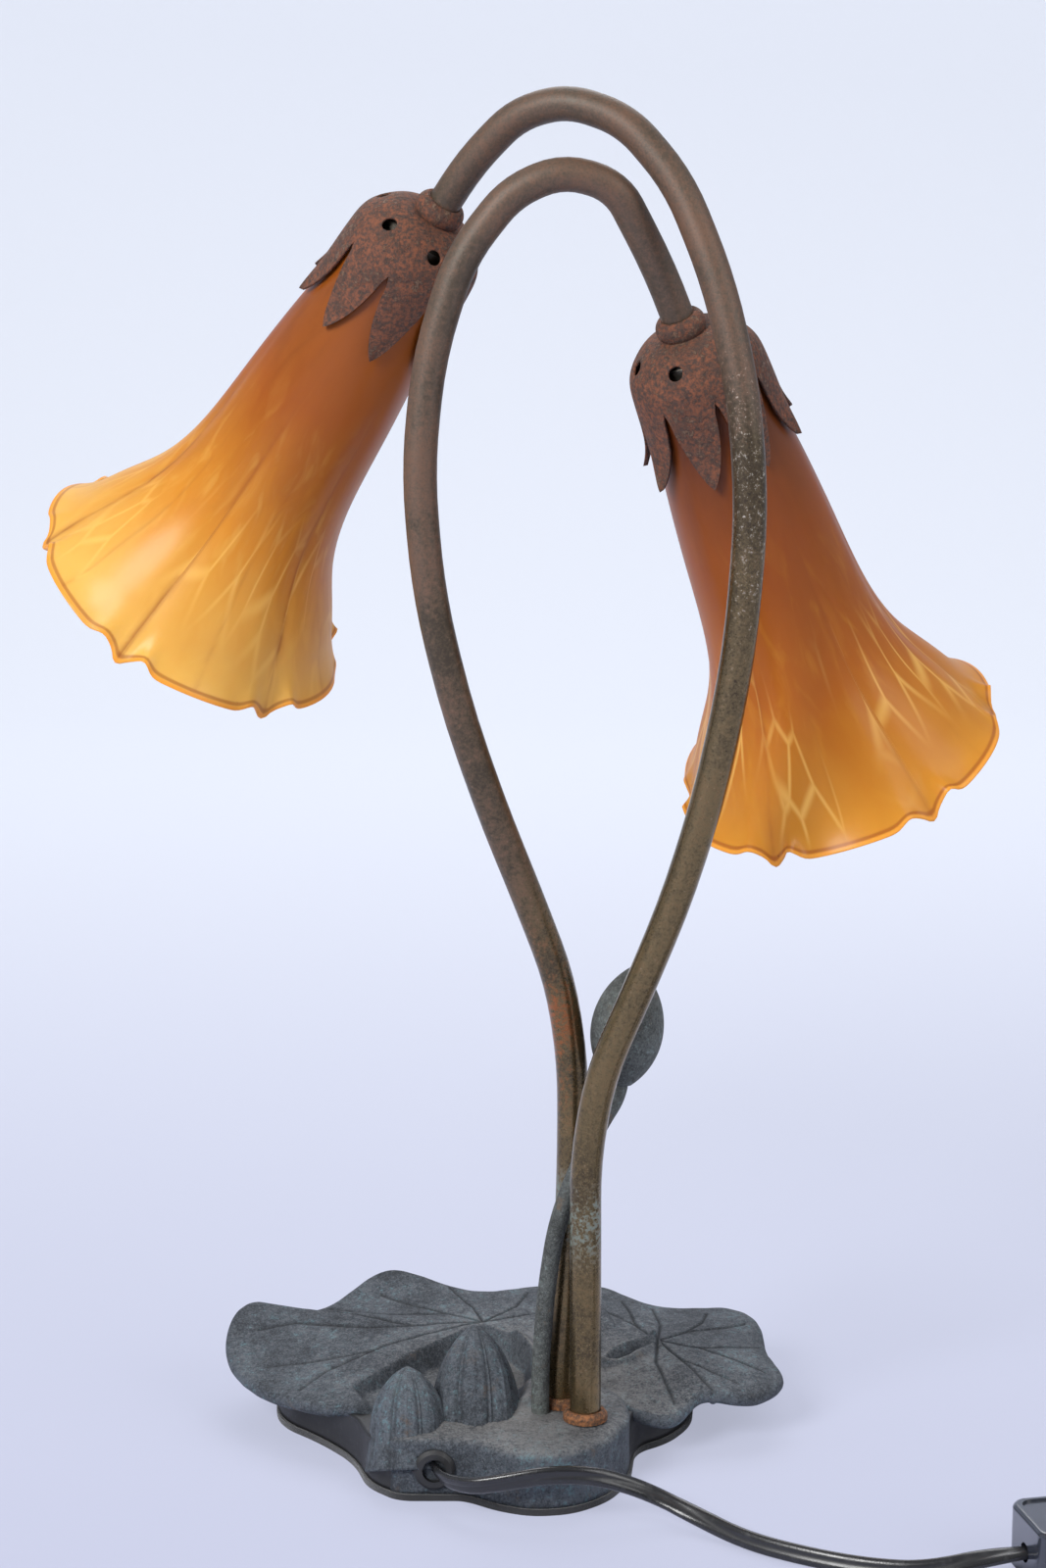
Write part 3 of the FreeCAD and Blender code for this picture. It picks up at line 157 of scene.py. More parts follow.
def ripple(points: np.ndarray, scale: float, seed: float = 0.0) -> np.ndarray:
    """Soft unevenness from -1 to 1: a sum of three sine waves that cross each other.

    Args:
        points: Points in the last axis.
        scale: Length of one wave.
        seed: Shifts the waves.

    Returns:
        The unevenness at each point.
    """
    x, y, z = np.moveaxis(points, -1, 0) * (TAU / scale)
    return (np.sin(x + 0.7 * y + 1.3 * seed) + np.sin(1.3 * y - 0.6 * z + 2.1 * seed)
            + np.sin(0.9 * z + 0.8 * x - 1.1 * y + 3.7 * seed)) / 3.0


@dataclass(frozen=True)
class Stand:
    """A local frame: its Z runs along an axis, and a phase turns it, from the cord's side of the lamp."""

    origin: Point
    axis: Point
    phase: float = 0.0

    def place(self, local: np.ndarray) -> np.ndarray:
        """Local points in the lamp's own frame: the origin plus each axis times its coordinate.

        Args:
            local: Points in this frame.

        Returns:
            The same points in the lamp's frame.
        """
        z = np.asarray(self.axis, float)
        z /= np.linalg.norm(z)
        near = np.array([0.0, -1.0, 0.0])
        x = near - z * (near @ z)
        x /= np.linalg.norm(x)
        y = np.cross(z, x)
        c, s = math.cos(math.radians(self.phase)), math.sin(math.radians(self.phase))
        return local @ np.array([c * x + s * y, c * y - s * x, z]) + np.asarray(self.origin)


# ---------------------------------------------------------------- meshes
def weave(rows: int, columns: int, close_rows: bool = False, close_columns: bool = False) -> np.ndarray:
    """Four-cornered faces of a grid whose points are numbered row by row.

    Args:
        rows: Points down the grid.
        columns: Points across it.
        close_rows: True joins the last row to the first.
        close_columns: True joins the last column to the first.

    Returns:
        One row of four point numbers per face.
    """
    i = np.arange(rows if close_rows else rows - 1)[:, None]
    j = np.arange(columns if close_columns else columns - 1)[None, :]
    down, across = (i + 1) % rows, (j + 1) % columns
    corners = [i * columns + j, i * columns + across, down * columns + across, down * columns + j]
    return np.stack([np.broadcast_to(c, (len(i), j.shape[1])) for c in corners], -1).reshape(-1, 4)


def linked(name: str, data: bpy.types.ID) -> bpy.types.Object:
    """A new object of that name in the scene, at the origin."""
    made = bpy.data.objects.new(name, data)
    bpy.context.scene.collection.objects.link(made)
    return made


def solid_mesh(name: str, verts: np.ndarray, faces: np.ndarray, weld: float = WELD, thin: float = THIN,
               marks: dict[str, np.ndarray] | None = None) -> bpy.types.Object:
    """A mesh object from points in millimetres, with its doubles merged and its faces outwards.

    Args:
        name: The piece's name.
        verts: Points, one per row.
        faces: Four point numbers per row.
        weld: Distance in metres within which points are merged.
        thin: Length in metres under which an edge is dissolved.
        marks: Point values kept on the mesh for its finish.

    Returns:
        The object, at the origin.
    """
    mesh = bpy.data.meshes.new(name)
    mesh.from_pydata((verts * MM).tolist(), [], faces.tolist())
    for key, values in (marks or {}).items():
        mark = mesh.attributes.new(key, "FLOAT", "POINT")
        mark.data.foreach_set("value", np.ascontiguousarray(values, np.float32).ravel())
    work = bmesh.new()
    work.from_mesh(mesh)
    bmesh.ops.remove_doubles(work, verts=work.verts, dist=weld)
    bmesh.ops.dissolve_degenerate(work, edges=work.edges, dist=thin)
    bmesh.ops.recalc_face_normals(work, faces=work.faces)
    if work.calc_volume(signed=True) < 0:
        bmesh.ops.reverse_faces(work, faces=work.faces)
    work.to_mesh(mesh)
    work.free()
    mesh.shade_smooth()
    return linked(name, mesh)


def grid_mesh(name: str, grid: np.ndarray, close_rows: bool = False, close_columns: bool = False,
              marks: dict[str, Any] | None = None) -> bpy.types.Object:
    """A mesh object from a grid of points in millimetres.

    Args:
        name: The piece's name.
        grid: Points, rows by columns by three.
        close_rows: True joins the last row to the first.
        close_columns: True joins the last column to the first.
        marks: Values kept for the finish, spread over the grid where they are fewer.

    Returns:
        The object, at the origin.
    """
    shape = grid.shape[:2]
    spread = {key: np.broadcast_to(values, shape) for key, values in (marks or {}).items()}
    return solid_mesh(name, grid.reshape(-1, 3), weave(*shape, close_rows, close_columns), marks=spread)


def bored(piece: bpy.types.Object, holes: Sequence[np.ndarray], radius: float, length: float,
          ways: Sequence[np.ndarray], sides: int = 28) -> bpy.types.Object:
    """The piece with round holes cut through it.

    Args:
        piece: The object to bore.
        holes: Middle of each hole in millimetres.
        radius: Radius of the holes.
        length: Length of the cutter.
        ways: Direction of each hole.
        sides: Faces round each hole.

    Returns:
        The piece.
    """
    angle = np.linspace(0.0, TAU, sides, endpoint=False)
    for k, (middle, way) in enumerate(zip(holes, ways)):
        drill = Stand(tuple(middle), tuple(way))
        rings = [(1e-4, -0.5), (radius, -0.5), (radius, 0.5), (1e-4, 0.5)]
        grid = np.array([[(r * math.cos(a), r * math.sin(a), h * length) for a in angle] for r, h in rings])
        cutter = grid_mesh(f"cutter_{k}", drill.place(grid), close_columns=True)
        cut = piece.modifiers.new("bore", "BOOLEAN")
        cut.operation, cut.solver, cut.object = "DIFFERENCE", "EXACT", cutter
        bpy.context.view_layer.update()
        made = bpy.data.meshes.new_from_object(piece.evaluated_get(bpy.context.evaluated_depsgraph_get()))
        piece.modifiers.clear()
        old, piece.data = piece.data, made
        bpy.data.meshes.remove(old)
        bpy.data.objects.remove(cutter)
    return piece


def dress(piece: bpy.types.Object, material: bpy.types.Material, slot: str, *nodes: str) -> bpy.types.Object:
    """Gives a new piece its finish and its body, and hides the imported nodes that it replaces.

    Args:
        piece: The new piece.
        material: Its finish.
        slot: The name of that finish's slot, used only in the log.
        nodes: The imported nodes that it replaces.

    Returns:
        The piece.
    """
    piece.data.materials.clear()
    piece.data.materials.append(material)
    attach(piece, BODY)
    if nodes:
        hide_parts(*nodes)
    log.info("%s: %d faces, %s", piece.name, len(piece.data.polygons), slot)
    return piece


# ---------------------------------------------------------------- shader arithmetic
class Signal:
    """A node's output that can be used in sums: each operator adds the Math node it names."""

    def __init__(self, paint: "Paint", socket: bpy.types.NodeSocket) -> None:
        """Keeps the socket and the paint it belongs to."""
        self.paint, self.socket = paint, socket

    def _sum(self, operation: str, first: Any, second: Any) -> "Signal":
        """One Math node on two numbers or signals."""
        return self.paint.node("ShaderNodeMath", {"operation": operation}, {0: first, 1: second})

    def __add__(self, other: Any) -> "Signal":
        """This plus the other."""
        return self._sum("ADD", self, other)

    def __sub__(self, other: Any) -> "Signal":
        """This less the other."""
        return self._sum("SUBTRACT", self, other)

    def __rsub__(self, other: Any) -> "Signal":
        """The other less this."""
        return self._sum("SUBTRACT", other, self)

    def __mul__(self, other: Any) -> "Signal":
        """This times the other."""
        return self._sum("MULTIPLY", self, other)

    __radd__, __rmul__ = __add__, __mul__


class Paint:
    """Builds one material, or the world: every node comes from node(), and close() joins the last one."""

    def __init__(self, name: str, world: bool = False) -> None:
        """Starts an empty material, or world, of that name."""
        self.owner = (bpy.data.worlds if world else bpy.data.materials).new(name)
        self.ending = "ShaderNodeOutputWorld" if world else "ShaderNodeOutputMaterial"
        self.owner.use_nodes = True
        self.tree = self.owner.node_tree
        self.tree.nodes.clear()

    def node(self, kind: str, settings: dict[str, Any] | None = None, inputs: dict[Any, Any] | None = None,
             output: Any = 0) -> Signal:
        """Adds any node.

        Args:
            kind: The node's type.
            settings: Its properties, set first; "stops" are a ramp's places and colours.
            inputs: Values or signals of its sockets, by name or number.
            output: The socket to return, by name or number.

        Returns:
            That output.
        """
        made = self.tree.nodes.new(kind)
        for key, value in (settings or {}).items():
            if key != "stops":
                setattr(made, key, value)
                continue
            ramp = made.color_ramp
            while len(ramp.elements) < len(value):
                ramp.elements.new(1.0)
            for element, (place, colour) in zip(ramp.elements, value):
                element.position, element.color = place, (*colour, 1.0)
        for key, value in (inputs or {}).items():
            if isinstance(value, Signal):
                self.tree.links.new(value.socket, made.inputs[key])
            else:
                made.inputs[key].default_value = value
        return Signal(self, made.outputs[output])

    def place(self, scale: tuple[float, float, float] = (1.0, 1.0, 1.0), shift: float = 0.0) -> Signal:
        """Object coordinates in metres, stretched and shifted."""
        spot = self.node("ShaderNodeTexCoord", output="Object")
        return self.node("ShaderNodeMapping", None, {0: spot, 1: (shift, shift, shift), 3: scale})

    def axis(self, letter: str) -> Signal:
        """One object coordinate in metres."""
        spot = self.node("ShaderNodeTexCoord", output="Object")
        return self.node("ShaderNodeSeparateXYZ", None, {0: spot}, letter)

    def mark(self, name: str) -> Signal:
        """A value kept on the mesh's points."""
        return self.node("ShaderNodeAttribute", {"attribute_name": name}, None, "Fac")

    def noise(self, scale: float, detail: float = 3.0, rough: float = 0.55, at: Signal | None = None,
              bend: float = 0.0) -> Signal:
        """Cloudy unevenness from 0 to 1, scale being clouds per metre."""
        return self.node("ShaderNodeTexNoise", None, {"Vector": at or self.place(), "Scale": scale, "Detail": detail,
                                                      "Roughness": rough, "Distortion": bend})

    def cells(self, scale: float, feature: str = "F1", at: Signal | None = None) -> Signal:
        """Distance to cell points, or to cell borders with DISTANCE_TO_EDGE."""
        return self.node("ShaderNodeTexVoronoi", {"feature": feature}, {"Vector": at or self.place(), "Scale": scale})

    def ease(self, value: Signal, low: float, high: float, start: float = 0.0, end: float = 1.0) -> Signal:
        """Eased step from start, at low, to end, at high."""
        return self.node("ShaderNodeMapRange", {"interpolation_type": "SMOOTHSTEP"},
                         {0: value, 1: low, 2: high, 3: start, 4: end})

    def mix(self, share: Any, first: Any, second: Any) -> Signal:
        """The first colour where the share is 0, and the second where it is 1."""
        first, second = (v if isinstance(v, Signal) else (*v, 1.0) for v in (first, second))
        return self.node("ShaderNodeMix", {"data_type": "RGBA"}, {0: share, 6: first, 7: second}, 2)

    def ramp(self, value: Signal, stops: Sequence[tuple[float, Colour]]) -> Signal:
        """A colour for each value, eased between stops."""
        return self.node("ShaderNodeValToRGB", {"stops": stops}, {0: value})

    def bump(self, height: Signal, depth: float) -> Signal:
        """A normal from a height of that depth in metres."""
        return self.node("ShaderNodeBump", None, {"Height": height, "Distance": depth}, "Normal")

    def principled(self, **inputs: Any) -> Signal:
        """A Principled surface; an underscore in a name stands for a space."""
        sockets = {key.replace("_", " "): value for key, value in inputs.items()}
        return self.node("ShaderNodeBsdfPrincipled", None, sockets, "BSDF")

    def close(self, surface: Signal) -> bpy.types.Material | bpy.types.World:
        """Joins the surface to the output and returns the material or world."""
        out = self.tree.nodes.new(self.ending)
        self.tree.links.new(surface.socket, out.inputs["Surface"])
        return self.owner


# ---------------------------------------------------------------- finishes
@dataclass(frozen=True)
class Moulding:
    """A moulded plastic or rubber: faint mottling, fine grain and dust."""

    name: str
    colour: Colour
    roughness: float = 0.45
    grain: float = 2500.0
    depth: float = 0.00003
    coat: float = 0.0
    dust: float = 0.25

    def material(self) -> bpy.types.Material:
        """Builds the material."""
        p = Paint(self.name)
        cloud = p.noise(90.0, 4.0)
        grain = p.noise(self.grain, 2.0)
        dust = p.ease(p.noise(420.0, 5.0, 0.7), 0.55, 0.8) * self.dust
        pale = tuple(0.5 * c + 0.12 for c in self.colour)
        deep = tuple(0.7 * c for c in self.colour)
        colour = p.mix(dust, p.mix(cloud, deep, self.colour), pale)
        rough = cloud * 0.16 + (self.roughness - 0.08) + dust * 0.3
        return p.close(p.principled(Base_Color=colour, Roughness=rough, Coat_Weight=self.coat,
                                    Coat_Roughness=0.12, Normal=p.bump(grain, self.depth)))


@dataclass(frozen=True)
class PlainMetal:
    """A turned or plated metal part: fine lines, tarnish clouds and small pits."""

    name: str
    colour: Colour
    tarnish: Colour
    roughness: float = 0.3

    def material(self) -> bpy.types.Material:
        """Builds the material."""
        p = Paint(self.name)
        lines = p.noise(700.0, 3.0, 0.6, p.place((1.0, 1.0, 6.0)))
        cloud = p.ease(p.noise(160.0, 5.0, 0.65), 0.4, 0.75)
        pits = p.ease(p.cells(900.0), 0.12, 0.3)
        rough = cloud * 0.25 + self.roughness + (1 - pits) * 0.1
        return p.close(p.principled(Base_Color=p.mix(cloud, self.colour, self.tarnish), Metallic=1.0, Roughness=rough,
                                    Normal=p.bump(lines * 0.5 + pits * 0.5, 0.00005)))


@dataclass(frozen=True)
class AgedPlating:
    """Brass-plated steel: bare brass with pits below and to +X, partly a painted sheen, brown rust above, verdigris
    where damp stood.
    """

    name: str = "plated_tube"
    brass: Colour = (0.17, 0.125, 0.06)
    dull: Colour = (0.05, 0.036, 0.022)
    rust: Colour = (0.10, 0.056, 0.034)
    orange: Colour = (0.27, 0.085, 0.028)
    silver: Colour = (0.50, 0.47, 0.40)
    verdigris: Colour = (0.13, 0.19, 0.18)

    def material(self) -> bpy.types.Material:
        """Builds the material."""
        p = Paint(self.name)
        x, z = p.axis("X"), p.axis("Z")
        cloud = p.noise(38.0, 5.0, 0.6)
        fine = p.noise(650.0, 4.0, 0.7)
        speck = p.noise(1500.0, 3.0, 0.75)
        pits = p.ease(p.cells(950.0), 0.08, 0.3)
        # The bright mask: bare brass low down and more towards +X, partly wear and partly a painted sheen; where it is
        # weak, rust takes over.
        low = 1 - p.ease(z + (cloud - 0.5) * 0.07, 0.25, 0.37)
        left = p.ease(x + (cloud - 0.5) * 0.03, -0.004, 0.03)
        bright = low * (left * 0.7 + 0.3)
        wear_and_sheen = fine * 0.5 + speck * 0.5 + (cloud - 0.5) * 0.5 + bright * 0.14
        brass_wear_and_sheen = p.ease(wear_and_sheen, 0.40, 0.72) * (bright * 0.75 + 0.15)
        base = p.mix(brass_wear_and_sheen, self.dull, self.brass)
        rusty = p.ease(cloud * 0.7 + fine * 0.5 + (1 - bright) * 0.36, 0.72, 0.98)
        colour = p.mix(rusty * 0.85, base, p.mix(p.ease(speck + (cloud - 0.5) * 0.5, 0.3, 0.66), self.dull, self.rust))
        band = p.ease(z, 0.24, 0.30) * (1 - p.ease(z, 0.32, 0.36)) * p.ease(x, 0.05, 0.062)
        flecks = p.ease(fine * 0.5 + speck * 0.5 + band * 0.05, 0.60, 0.68) * (bright * 0.4 + band * 0.5)
        colour = p.mix(flecks, colour, self.silver)
        bend = p.ease(z, 0.105, 0.135) * (1 - p.ease(z, 0.145, 0.18)) * (1 - p.ease(x, 0.018, 0.026))
        tinge = p.ease(fine + cloud * 0.6, 0.74, 0.98) * (bend * 0.8 + 0.1)
        colour = p.mix(tinge, colour, self.orange)
        damp = p.ease(z, 0.066, 0.08) * (1 - p.ease(z, 0.088, 0.1)) * p.ease(fine + cloud * 0.5, 0.70, 0.86)
        colour = p.mix(damp * 0.7, colour, self.verdigris)
        colour = p.mix((1 - pits) * 0.2, colour, self.dull)
        shine = (1 - rusty) * (1 - damp) * (bright * 0.6 + 0.4)
        rough = 0.5 - shine * 0.32 + speck * 0.12
        relief = pits * 0.5 + fine * (rusty * 0.7 + 0.15) + damp * 0.4
        return p.close(p.principled(Base_Color=colour, Metallic=shine * 0.7 + 0.15, Roughness=rough,
                                    Normal=p.bump(relief, 0.00007)))


@dataclass(frozen=True)
class RustedPlate:
    """Pressed or turned plate gone to rust: red-brown grain, dark scabs and pale bare flakes."""

    name: str
    red: Colour = (0.19, 0.062, 0.028)
    dark: Colour = (0.045, 0.027, 0.02)
    pale: Colour = (0.30, 0.19, 0.12)
    bright: float = 0.45

    def material(self) -> bpy.types.Material:
        """Builds the material."""
        p = Paint(self.name)
        cloud = p.noise(70.0, 5.0, 0.62)
        grain = p.noise(900.0, 4.0, 0.7)
        scab = p.ease(p.noise(260.0, 5.0, 0.7) + (cloud - 0.5) * 0.5, 0.47, 0.62)
        flake = p.ease(p.noise(520.0, 6.0, 0.75) + (cloud - 0.5) * 0.5, 0.56, 0.68)
        base = p.mix(p.ease(grain, 0.35, 0.68), self.dark, self.red)
        colour = p.mix(scab * 0.6, base, self.dark)
        colour = p.mix(flake * self.bright, colour, self.pale)
        rough = 0.8 - flake * 0.25 + grain * 0.1
        return p.close(p.principled(Base_Color=colour, Metallic=flake * 0.4 + 0.15, Roughness=rough,
                                    Normal=p.bump(grain * 0.6 + scab * 0.5 + flake * 0.3, 0.00035)))


@dataclass(frozen=True)
class Patina:
    """Dark blue-grey casting: sandy grain, teal specks, dust where it settles and dark cut lines."""

    name: str = "cast_foot"
    deep: Colour = (0.018, 0.022, 0.028)
    slate: Colour = (0.072, 0.084, 0.100)
    teal: Colour = (0.075, 0.175, 0.20)
    dust: Colour = (0.20, 0.185, 0.17)
    earth: Colour = (0.10, 0.07, 0.05)
    lacquer: Colour = (0.012, 0.012, 0.013)
    dusty: float = 0.8

    def material(self) -> bpy.types.Material:
        """Builds the material."""
        p = Paint(self.name)
        cloud = p.noise(45.0, 5.0, 0.6)
        sand = p.noise(1300.0, 4.0, 0.75)
        coarse = p.noise(480.0, 4.0, 0.7)
        groove, hollow, skirt = p.mark("groove"), p.mark("hollow"), p.mark("skirt")
        base = p.mix(p.ease(sand * 0.6 + coarse * 0.4 + (cloud - 0.5) * 0.5, 0.36, 0.64), self.deep, self.slate)
        patch = p.ease(p.noise(420.0, 5.0, 0.75) + (cloud - 0.5) * 0.5, 0.55, 0.68)
        colour = p.mix(patch * 0.6 * p.ease(sand, 0.4, 0.6), base, self.teal)
        crumbs = p.ease(p.noise(2600.0, 3.0, 0.8), 0.58, 0.68)
        colour = p.mix(crumbs * 0.4, colour, self.dust)
        normal = p.node("ShaderNodeNewGeometry", output="Normal")
        level = p.ease(p.node("ShaderNodeSeparateXYZ", None, {0: normal}, "Z"), 0.55, 1.0)
        loose = p.ease(sand * 0.6 + coarse * 0.4 + hollow * 0.3 + (cloud - 0.5) * 0.3, 0.5, 0.85)
        colour = p.mix(loose * (level * 0.55 + 0.1) * self.dusty, colour, self.dust)
        brown = p.ease(p.noise(120.0, 5.0, 0.7, p.place(shift=0.3)), 0.58, 0.72) * (1 - level) * 0.55
        colour = p.mix(brown, colour, self.earth)
        colour = p.mix(groove * 0.9, colour, tuple(0.4 * c for c in self.deep))
        colour = p.mix(skirt, colour, self.lacquer)
        rough = 0.82 - patch * 0.12 - skirt * 0.3
        relief = (sand * 0.5 + coarse * 0.8) * (1 - skirt * 0.9)
        return p.close(p.principled(Base_Color=colour, Metallic=0.15, Roughness=rough, Normal=p.bump(relief, 0.0004)))


@dataclass(frozen=True)
class AmberGlass:
    """Satin amber glass: burnt at the neck, partly a painted shadow of the holder, and honey at the mouth, with folds,
    a pale net, a bright lip and a painted shaded side.
    """

    name: str
    neck: Colour
    waist: Colour
    bell: Colour
    mouth: Colour
    fold: Colour = (0.25, 0.06, 0.008)
    lip: Colour = (0.78, 0.33, 0.04)
    pale: Colour = (0.88, 0.55, 0.13)
    dirt: Colour = (0.02, 0.012, 0.008)
    glow: Colour = (0.85, 0.27, 0.02)
    net: float = 0.5
    folds: float = 0.55
    shaded_side: tuple[float, float] = (-0.078, -0.045)

    def material(self) -> bpy.types.Material:
        """Builds the material."""
        p = Paint(self.name)
        along, round_, rim, crease = (p.mark(n) for n in ("along", "round", "rim", "crease"))
        flow = p.node("ShaderNodeCombineXYZ", None, {0: round_ * 9.0, 1: along * 2.2, 2: 0.0})
        haze = p.noise(1.6, 4.0, 0.55, flow, 0.6)
        streak = p.noise(3.4, 3.0, 0.5, flow, 1.2)
        at = along + (haze - 0.5) * 0.22
        # The neck stop is near black: deeper glass there, and partly a painted shadow of the holder.
        colour = p.ramp(at, [(0.16, self.neck), (0.42, self.waist), (0.72, self.bell), (0.97, self.mouth)])
        # The deep mask paints one side of the shade deeper orange: a painted shaded side, placed by X.
        deep = p.ease(p.axis("X") + (streak - 0.5) * 0.04, *self.shaded_side) * (1 - p.ease(along, 0.75, 1.05) * 0.6)
        colour = p.mix(deep * 0.6, colour, self.waist)
        colour = p.mix(p.ease(streak, 0.5, 0.75) * p.ease(along, 0.3, 0.7) * 0.35, colour, self.mouth)
        drift = p.noise(1.1, 0.0, 0.5, flow)
        wander = p.node("ShaderNodeCombineXYZ", None, {0: round_ * 30.0 + drift * 1.6, 1: along * 5.0 + drift, 2: 0.0})
        net = 1 - p.ease(p.cells(1.0, "DISTANCE_TO_EDGE", wander), 0.0, 0.08)
        near = p.ease(along, 0.58, 0.78) * (1 - p.ease(along, 0.93, 0.99))
        colour = p.mix(net * near * p.ease(drift, 0.38, 0.6) * self.net, colour, self.pale)
        folded = p.ease(along + (haze - 0.5) * 0.5, 0.3, 0.6) * p.ease(streak, 0.3, 0.6) * self.folds
        colour = p.mix(crease * folded, colour, self.fold)
        speck = p.ease(p.noise(900.0, 4.0, 0.7), 0.66, 0.72)
        colour = p.mix(p.ease(rim, 0.35, 0.75), colour, self.lip)
        line = p.ease(rim, 0.12, 0.3) * (1 - p.ease(rim, 0.4, 0.6))
        colour = p.mix(line * 0.6, colour, self.fold)
        colour = p.mix(line * speck, colour, self.dirt)
        sand = p.noise(2600.0, 2.0, 0.6)
        normal = p.bump(sand * 0.5 + streak * 0.8, 0.00003)
        skin = p.principled(Base_Color=colour, Roughness=haze * 0.12 + 0.34, Coat_Weight=0.1, Coat_Roughness=0.2,
                            Specular_IOR_Level=0.22, Subsurface_Weight=0.12, Subsurface_Scale=0.003,
                            Subsurface_Radius=(1.0, 0.42, 0.1), IOR=1.5, Normal=normal)
        glow = p.node("ShaderNodeBsdfTranslucent", None, {"Color": (*self.glow, 1.0)})
        through = p.ease(along, 0.15, 0.6) * 0.17 + 0.05
        return p.close(p.node("ShaderNodeMixShader", None, {0: through, 1: skin, 2: glow}))


@dataclass(frozen=True)
class ClearGlass:
    """Thin clear bulb glass with faint fingermarks."""

    name: str = "bulb_glass"

    def material(self) -> bpy.types.Material:
        """Builds the material."""
        p = Paint(self.name)
        smear = p.ease(p.noise(120.0, 4.0, 0.6), 0.45, 0.7)
        return p.close(p.principled(Base_Color=p.mix(smear, (0.96, 0.96, 0.94), (0.88, 0.88, 0.85)),
                                    Roughness=smear * 0.12 + 0.03, Transmission_Weight=0.9, IOR=1.45,
                                    Normal=p.bump(smear, 0.00002)))


@dataclass(frozen=True)
class Felt:
    """Glued felt: matted fibres in two sizes and lint."""

    name: str = "felt"

    def material(self) -> bpy.types.Material:
        """Builds the material."""
        p = Paint(self.name)
        mat, hair = p.noise(600.0, 5.0, 0.7), p.noise(2600.0, 4.0, 0.8, p.place((1.0, 3.0, 1.0)))
        lint = p.ease(p.cells(700.0), 0.0, 0.12)
        colour = p.mix(lint, (0.06, 0.06, 0.06), p.mix(mat, (0.006, 0.006, 0.007), (0.022, 0.022, 0.024)))
        return p.close(p.principled(Base_Color=colour, Roughness=mat * 0.1 + 0.88, Sheen_Weight=0.3,
                                    Normal=p.bump(mat * 0.6 + hair * 0.6, 0.0003)))


@dataclass(frozen=True)
class CordJacket:
    """Flat twin cord: satin black jacket with a dull groove in painted shade, scuffs and lint."""

    name: str = "cord_pvc"

    def material(self) -> bpy.types.Material:
        """Builds the material."""
        p = Paint(self.name)
        scuff = p.ease(p.noise(260.0, 5.0, 0.65), 0.5, 0.75)
        grain, lint = p.noise(2200.0, 3.0, 0.6), p.ease(p.noise(900.0, 5.0, 0.8), 0.68, 0.76)
        groove = p.mark("groove")
        colour = p.mix(scuff, (0.006, 0.006, 0.007), (0.014, 0.014, 0.016))
        colour = p.mix(lint * 0.12, colour, (0.12, 0.12, 0.12))
        # The groove between the cores is painted darker: painted shade.
        colour = p.mix(groove * 0.8, colour, (0.006, 0.006, 0.007))
        return p.close(p.principled(Base_Color=colour, Roughness=scuff * 0.18 + 0.27 + groove * 0.2,
                                    Coat_Weight=0.2, Coat_Roughness=0.25, Normal=p.bump(grain + scuff * 0.4, 0.00004)))


class Finish(Enum):
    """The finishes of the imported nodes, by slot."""

    FELT = Felt()
    BALLAST = PlainMetal("ballast_iron", (0.12, 0.12, 0.12), (0.06, 0.045, 0.035), 0.6)
    ZINC = PlainMetal("zinc_steel", (0.6, 0.59, 0.55), (0.32, 0.3, 0.26))
    RUBBER = Moulding("black_rubber", (0.014, 0.014, 0.015), 0.55)
    CLAMP = Moulding("black_plastic", (0.018, 0.018, 0.02), 0.5)
    RUSTED_BRASS = RustedPlate("rusted_brass", (0.28, 0.11, 0.04), (0.06, 0.032, 0.018), (0.42, 0.24, 0.12), 0.6)
    NYLON = Moulding("clear_nylon", (0.7, 0.7, 0.66), 0.35)
    TUBE = AgedPlating()
    SLEEVE = Moulding("flex_sleeve", (0.62, 0.6, 0.54), 0.4)
    BUD = Patina("bud_casting", (0.03, 0.032, 0.03), (0.09, 0.10, 0.095), (0.15, 0.2, 0.19), (0.3, 0.29, 0.25),
                 (0.12, 0.07, 0.035))
    HOLDER_METAL = PlainMetal("holder_metal", (0.42, 0.39, 0.33), (0.2, 0.13, 0.08), 0.38)
    HOLDER = Moulding("holder_plastic", (0.022, 0.018, 0.015), 0.4, coat=0.15)
    CONTACT = PlainMetal("contact_brass", (0.72, 0.52, 0.22), (0.4, 0.26, 0.1), 0.25)
    BULB_GLASS = ClearGlass()
    SWITCH_CASE = Moulding("switch_case", (0.02, 0.024, 0.036), 0.22, 1800.0, 0.00001, 0.6, 0.12)
    SWITCH_KEY = Moulding("switch_key", (0.03, 0.03, 0.034), 0.28, 1800.0, 0.00001, 0.4, 0.1)
    PLUG = Moulding("plug_moulding", (0.018, 0.018, 0.02), 0.42)
    PIN = PlainMetal("pin_nickel", (0.74, 0.71, 0.65), (0.5, 0.45, 0.38), 0.2)
    CAST = Patina()
    CORD = CordJacket()
    CALYX = RustedPlate("pressed_brass")


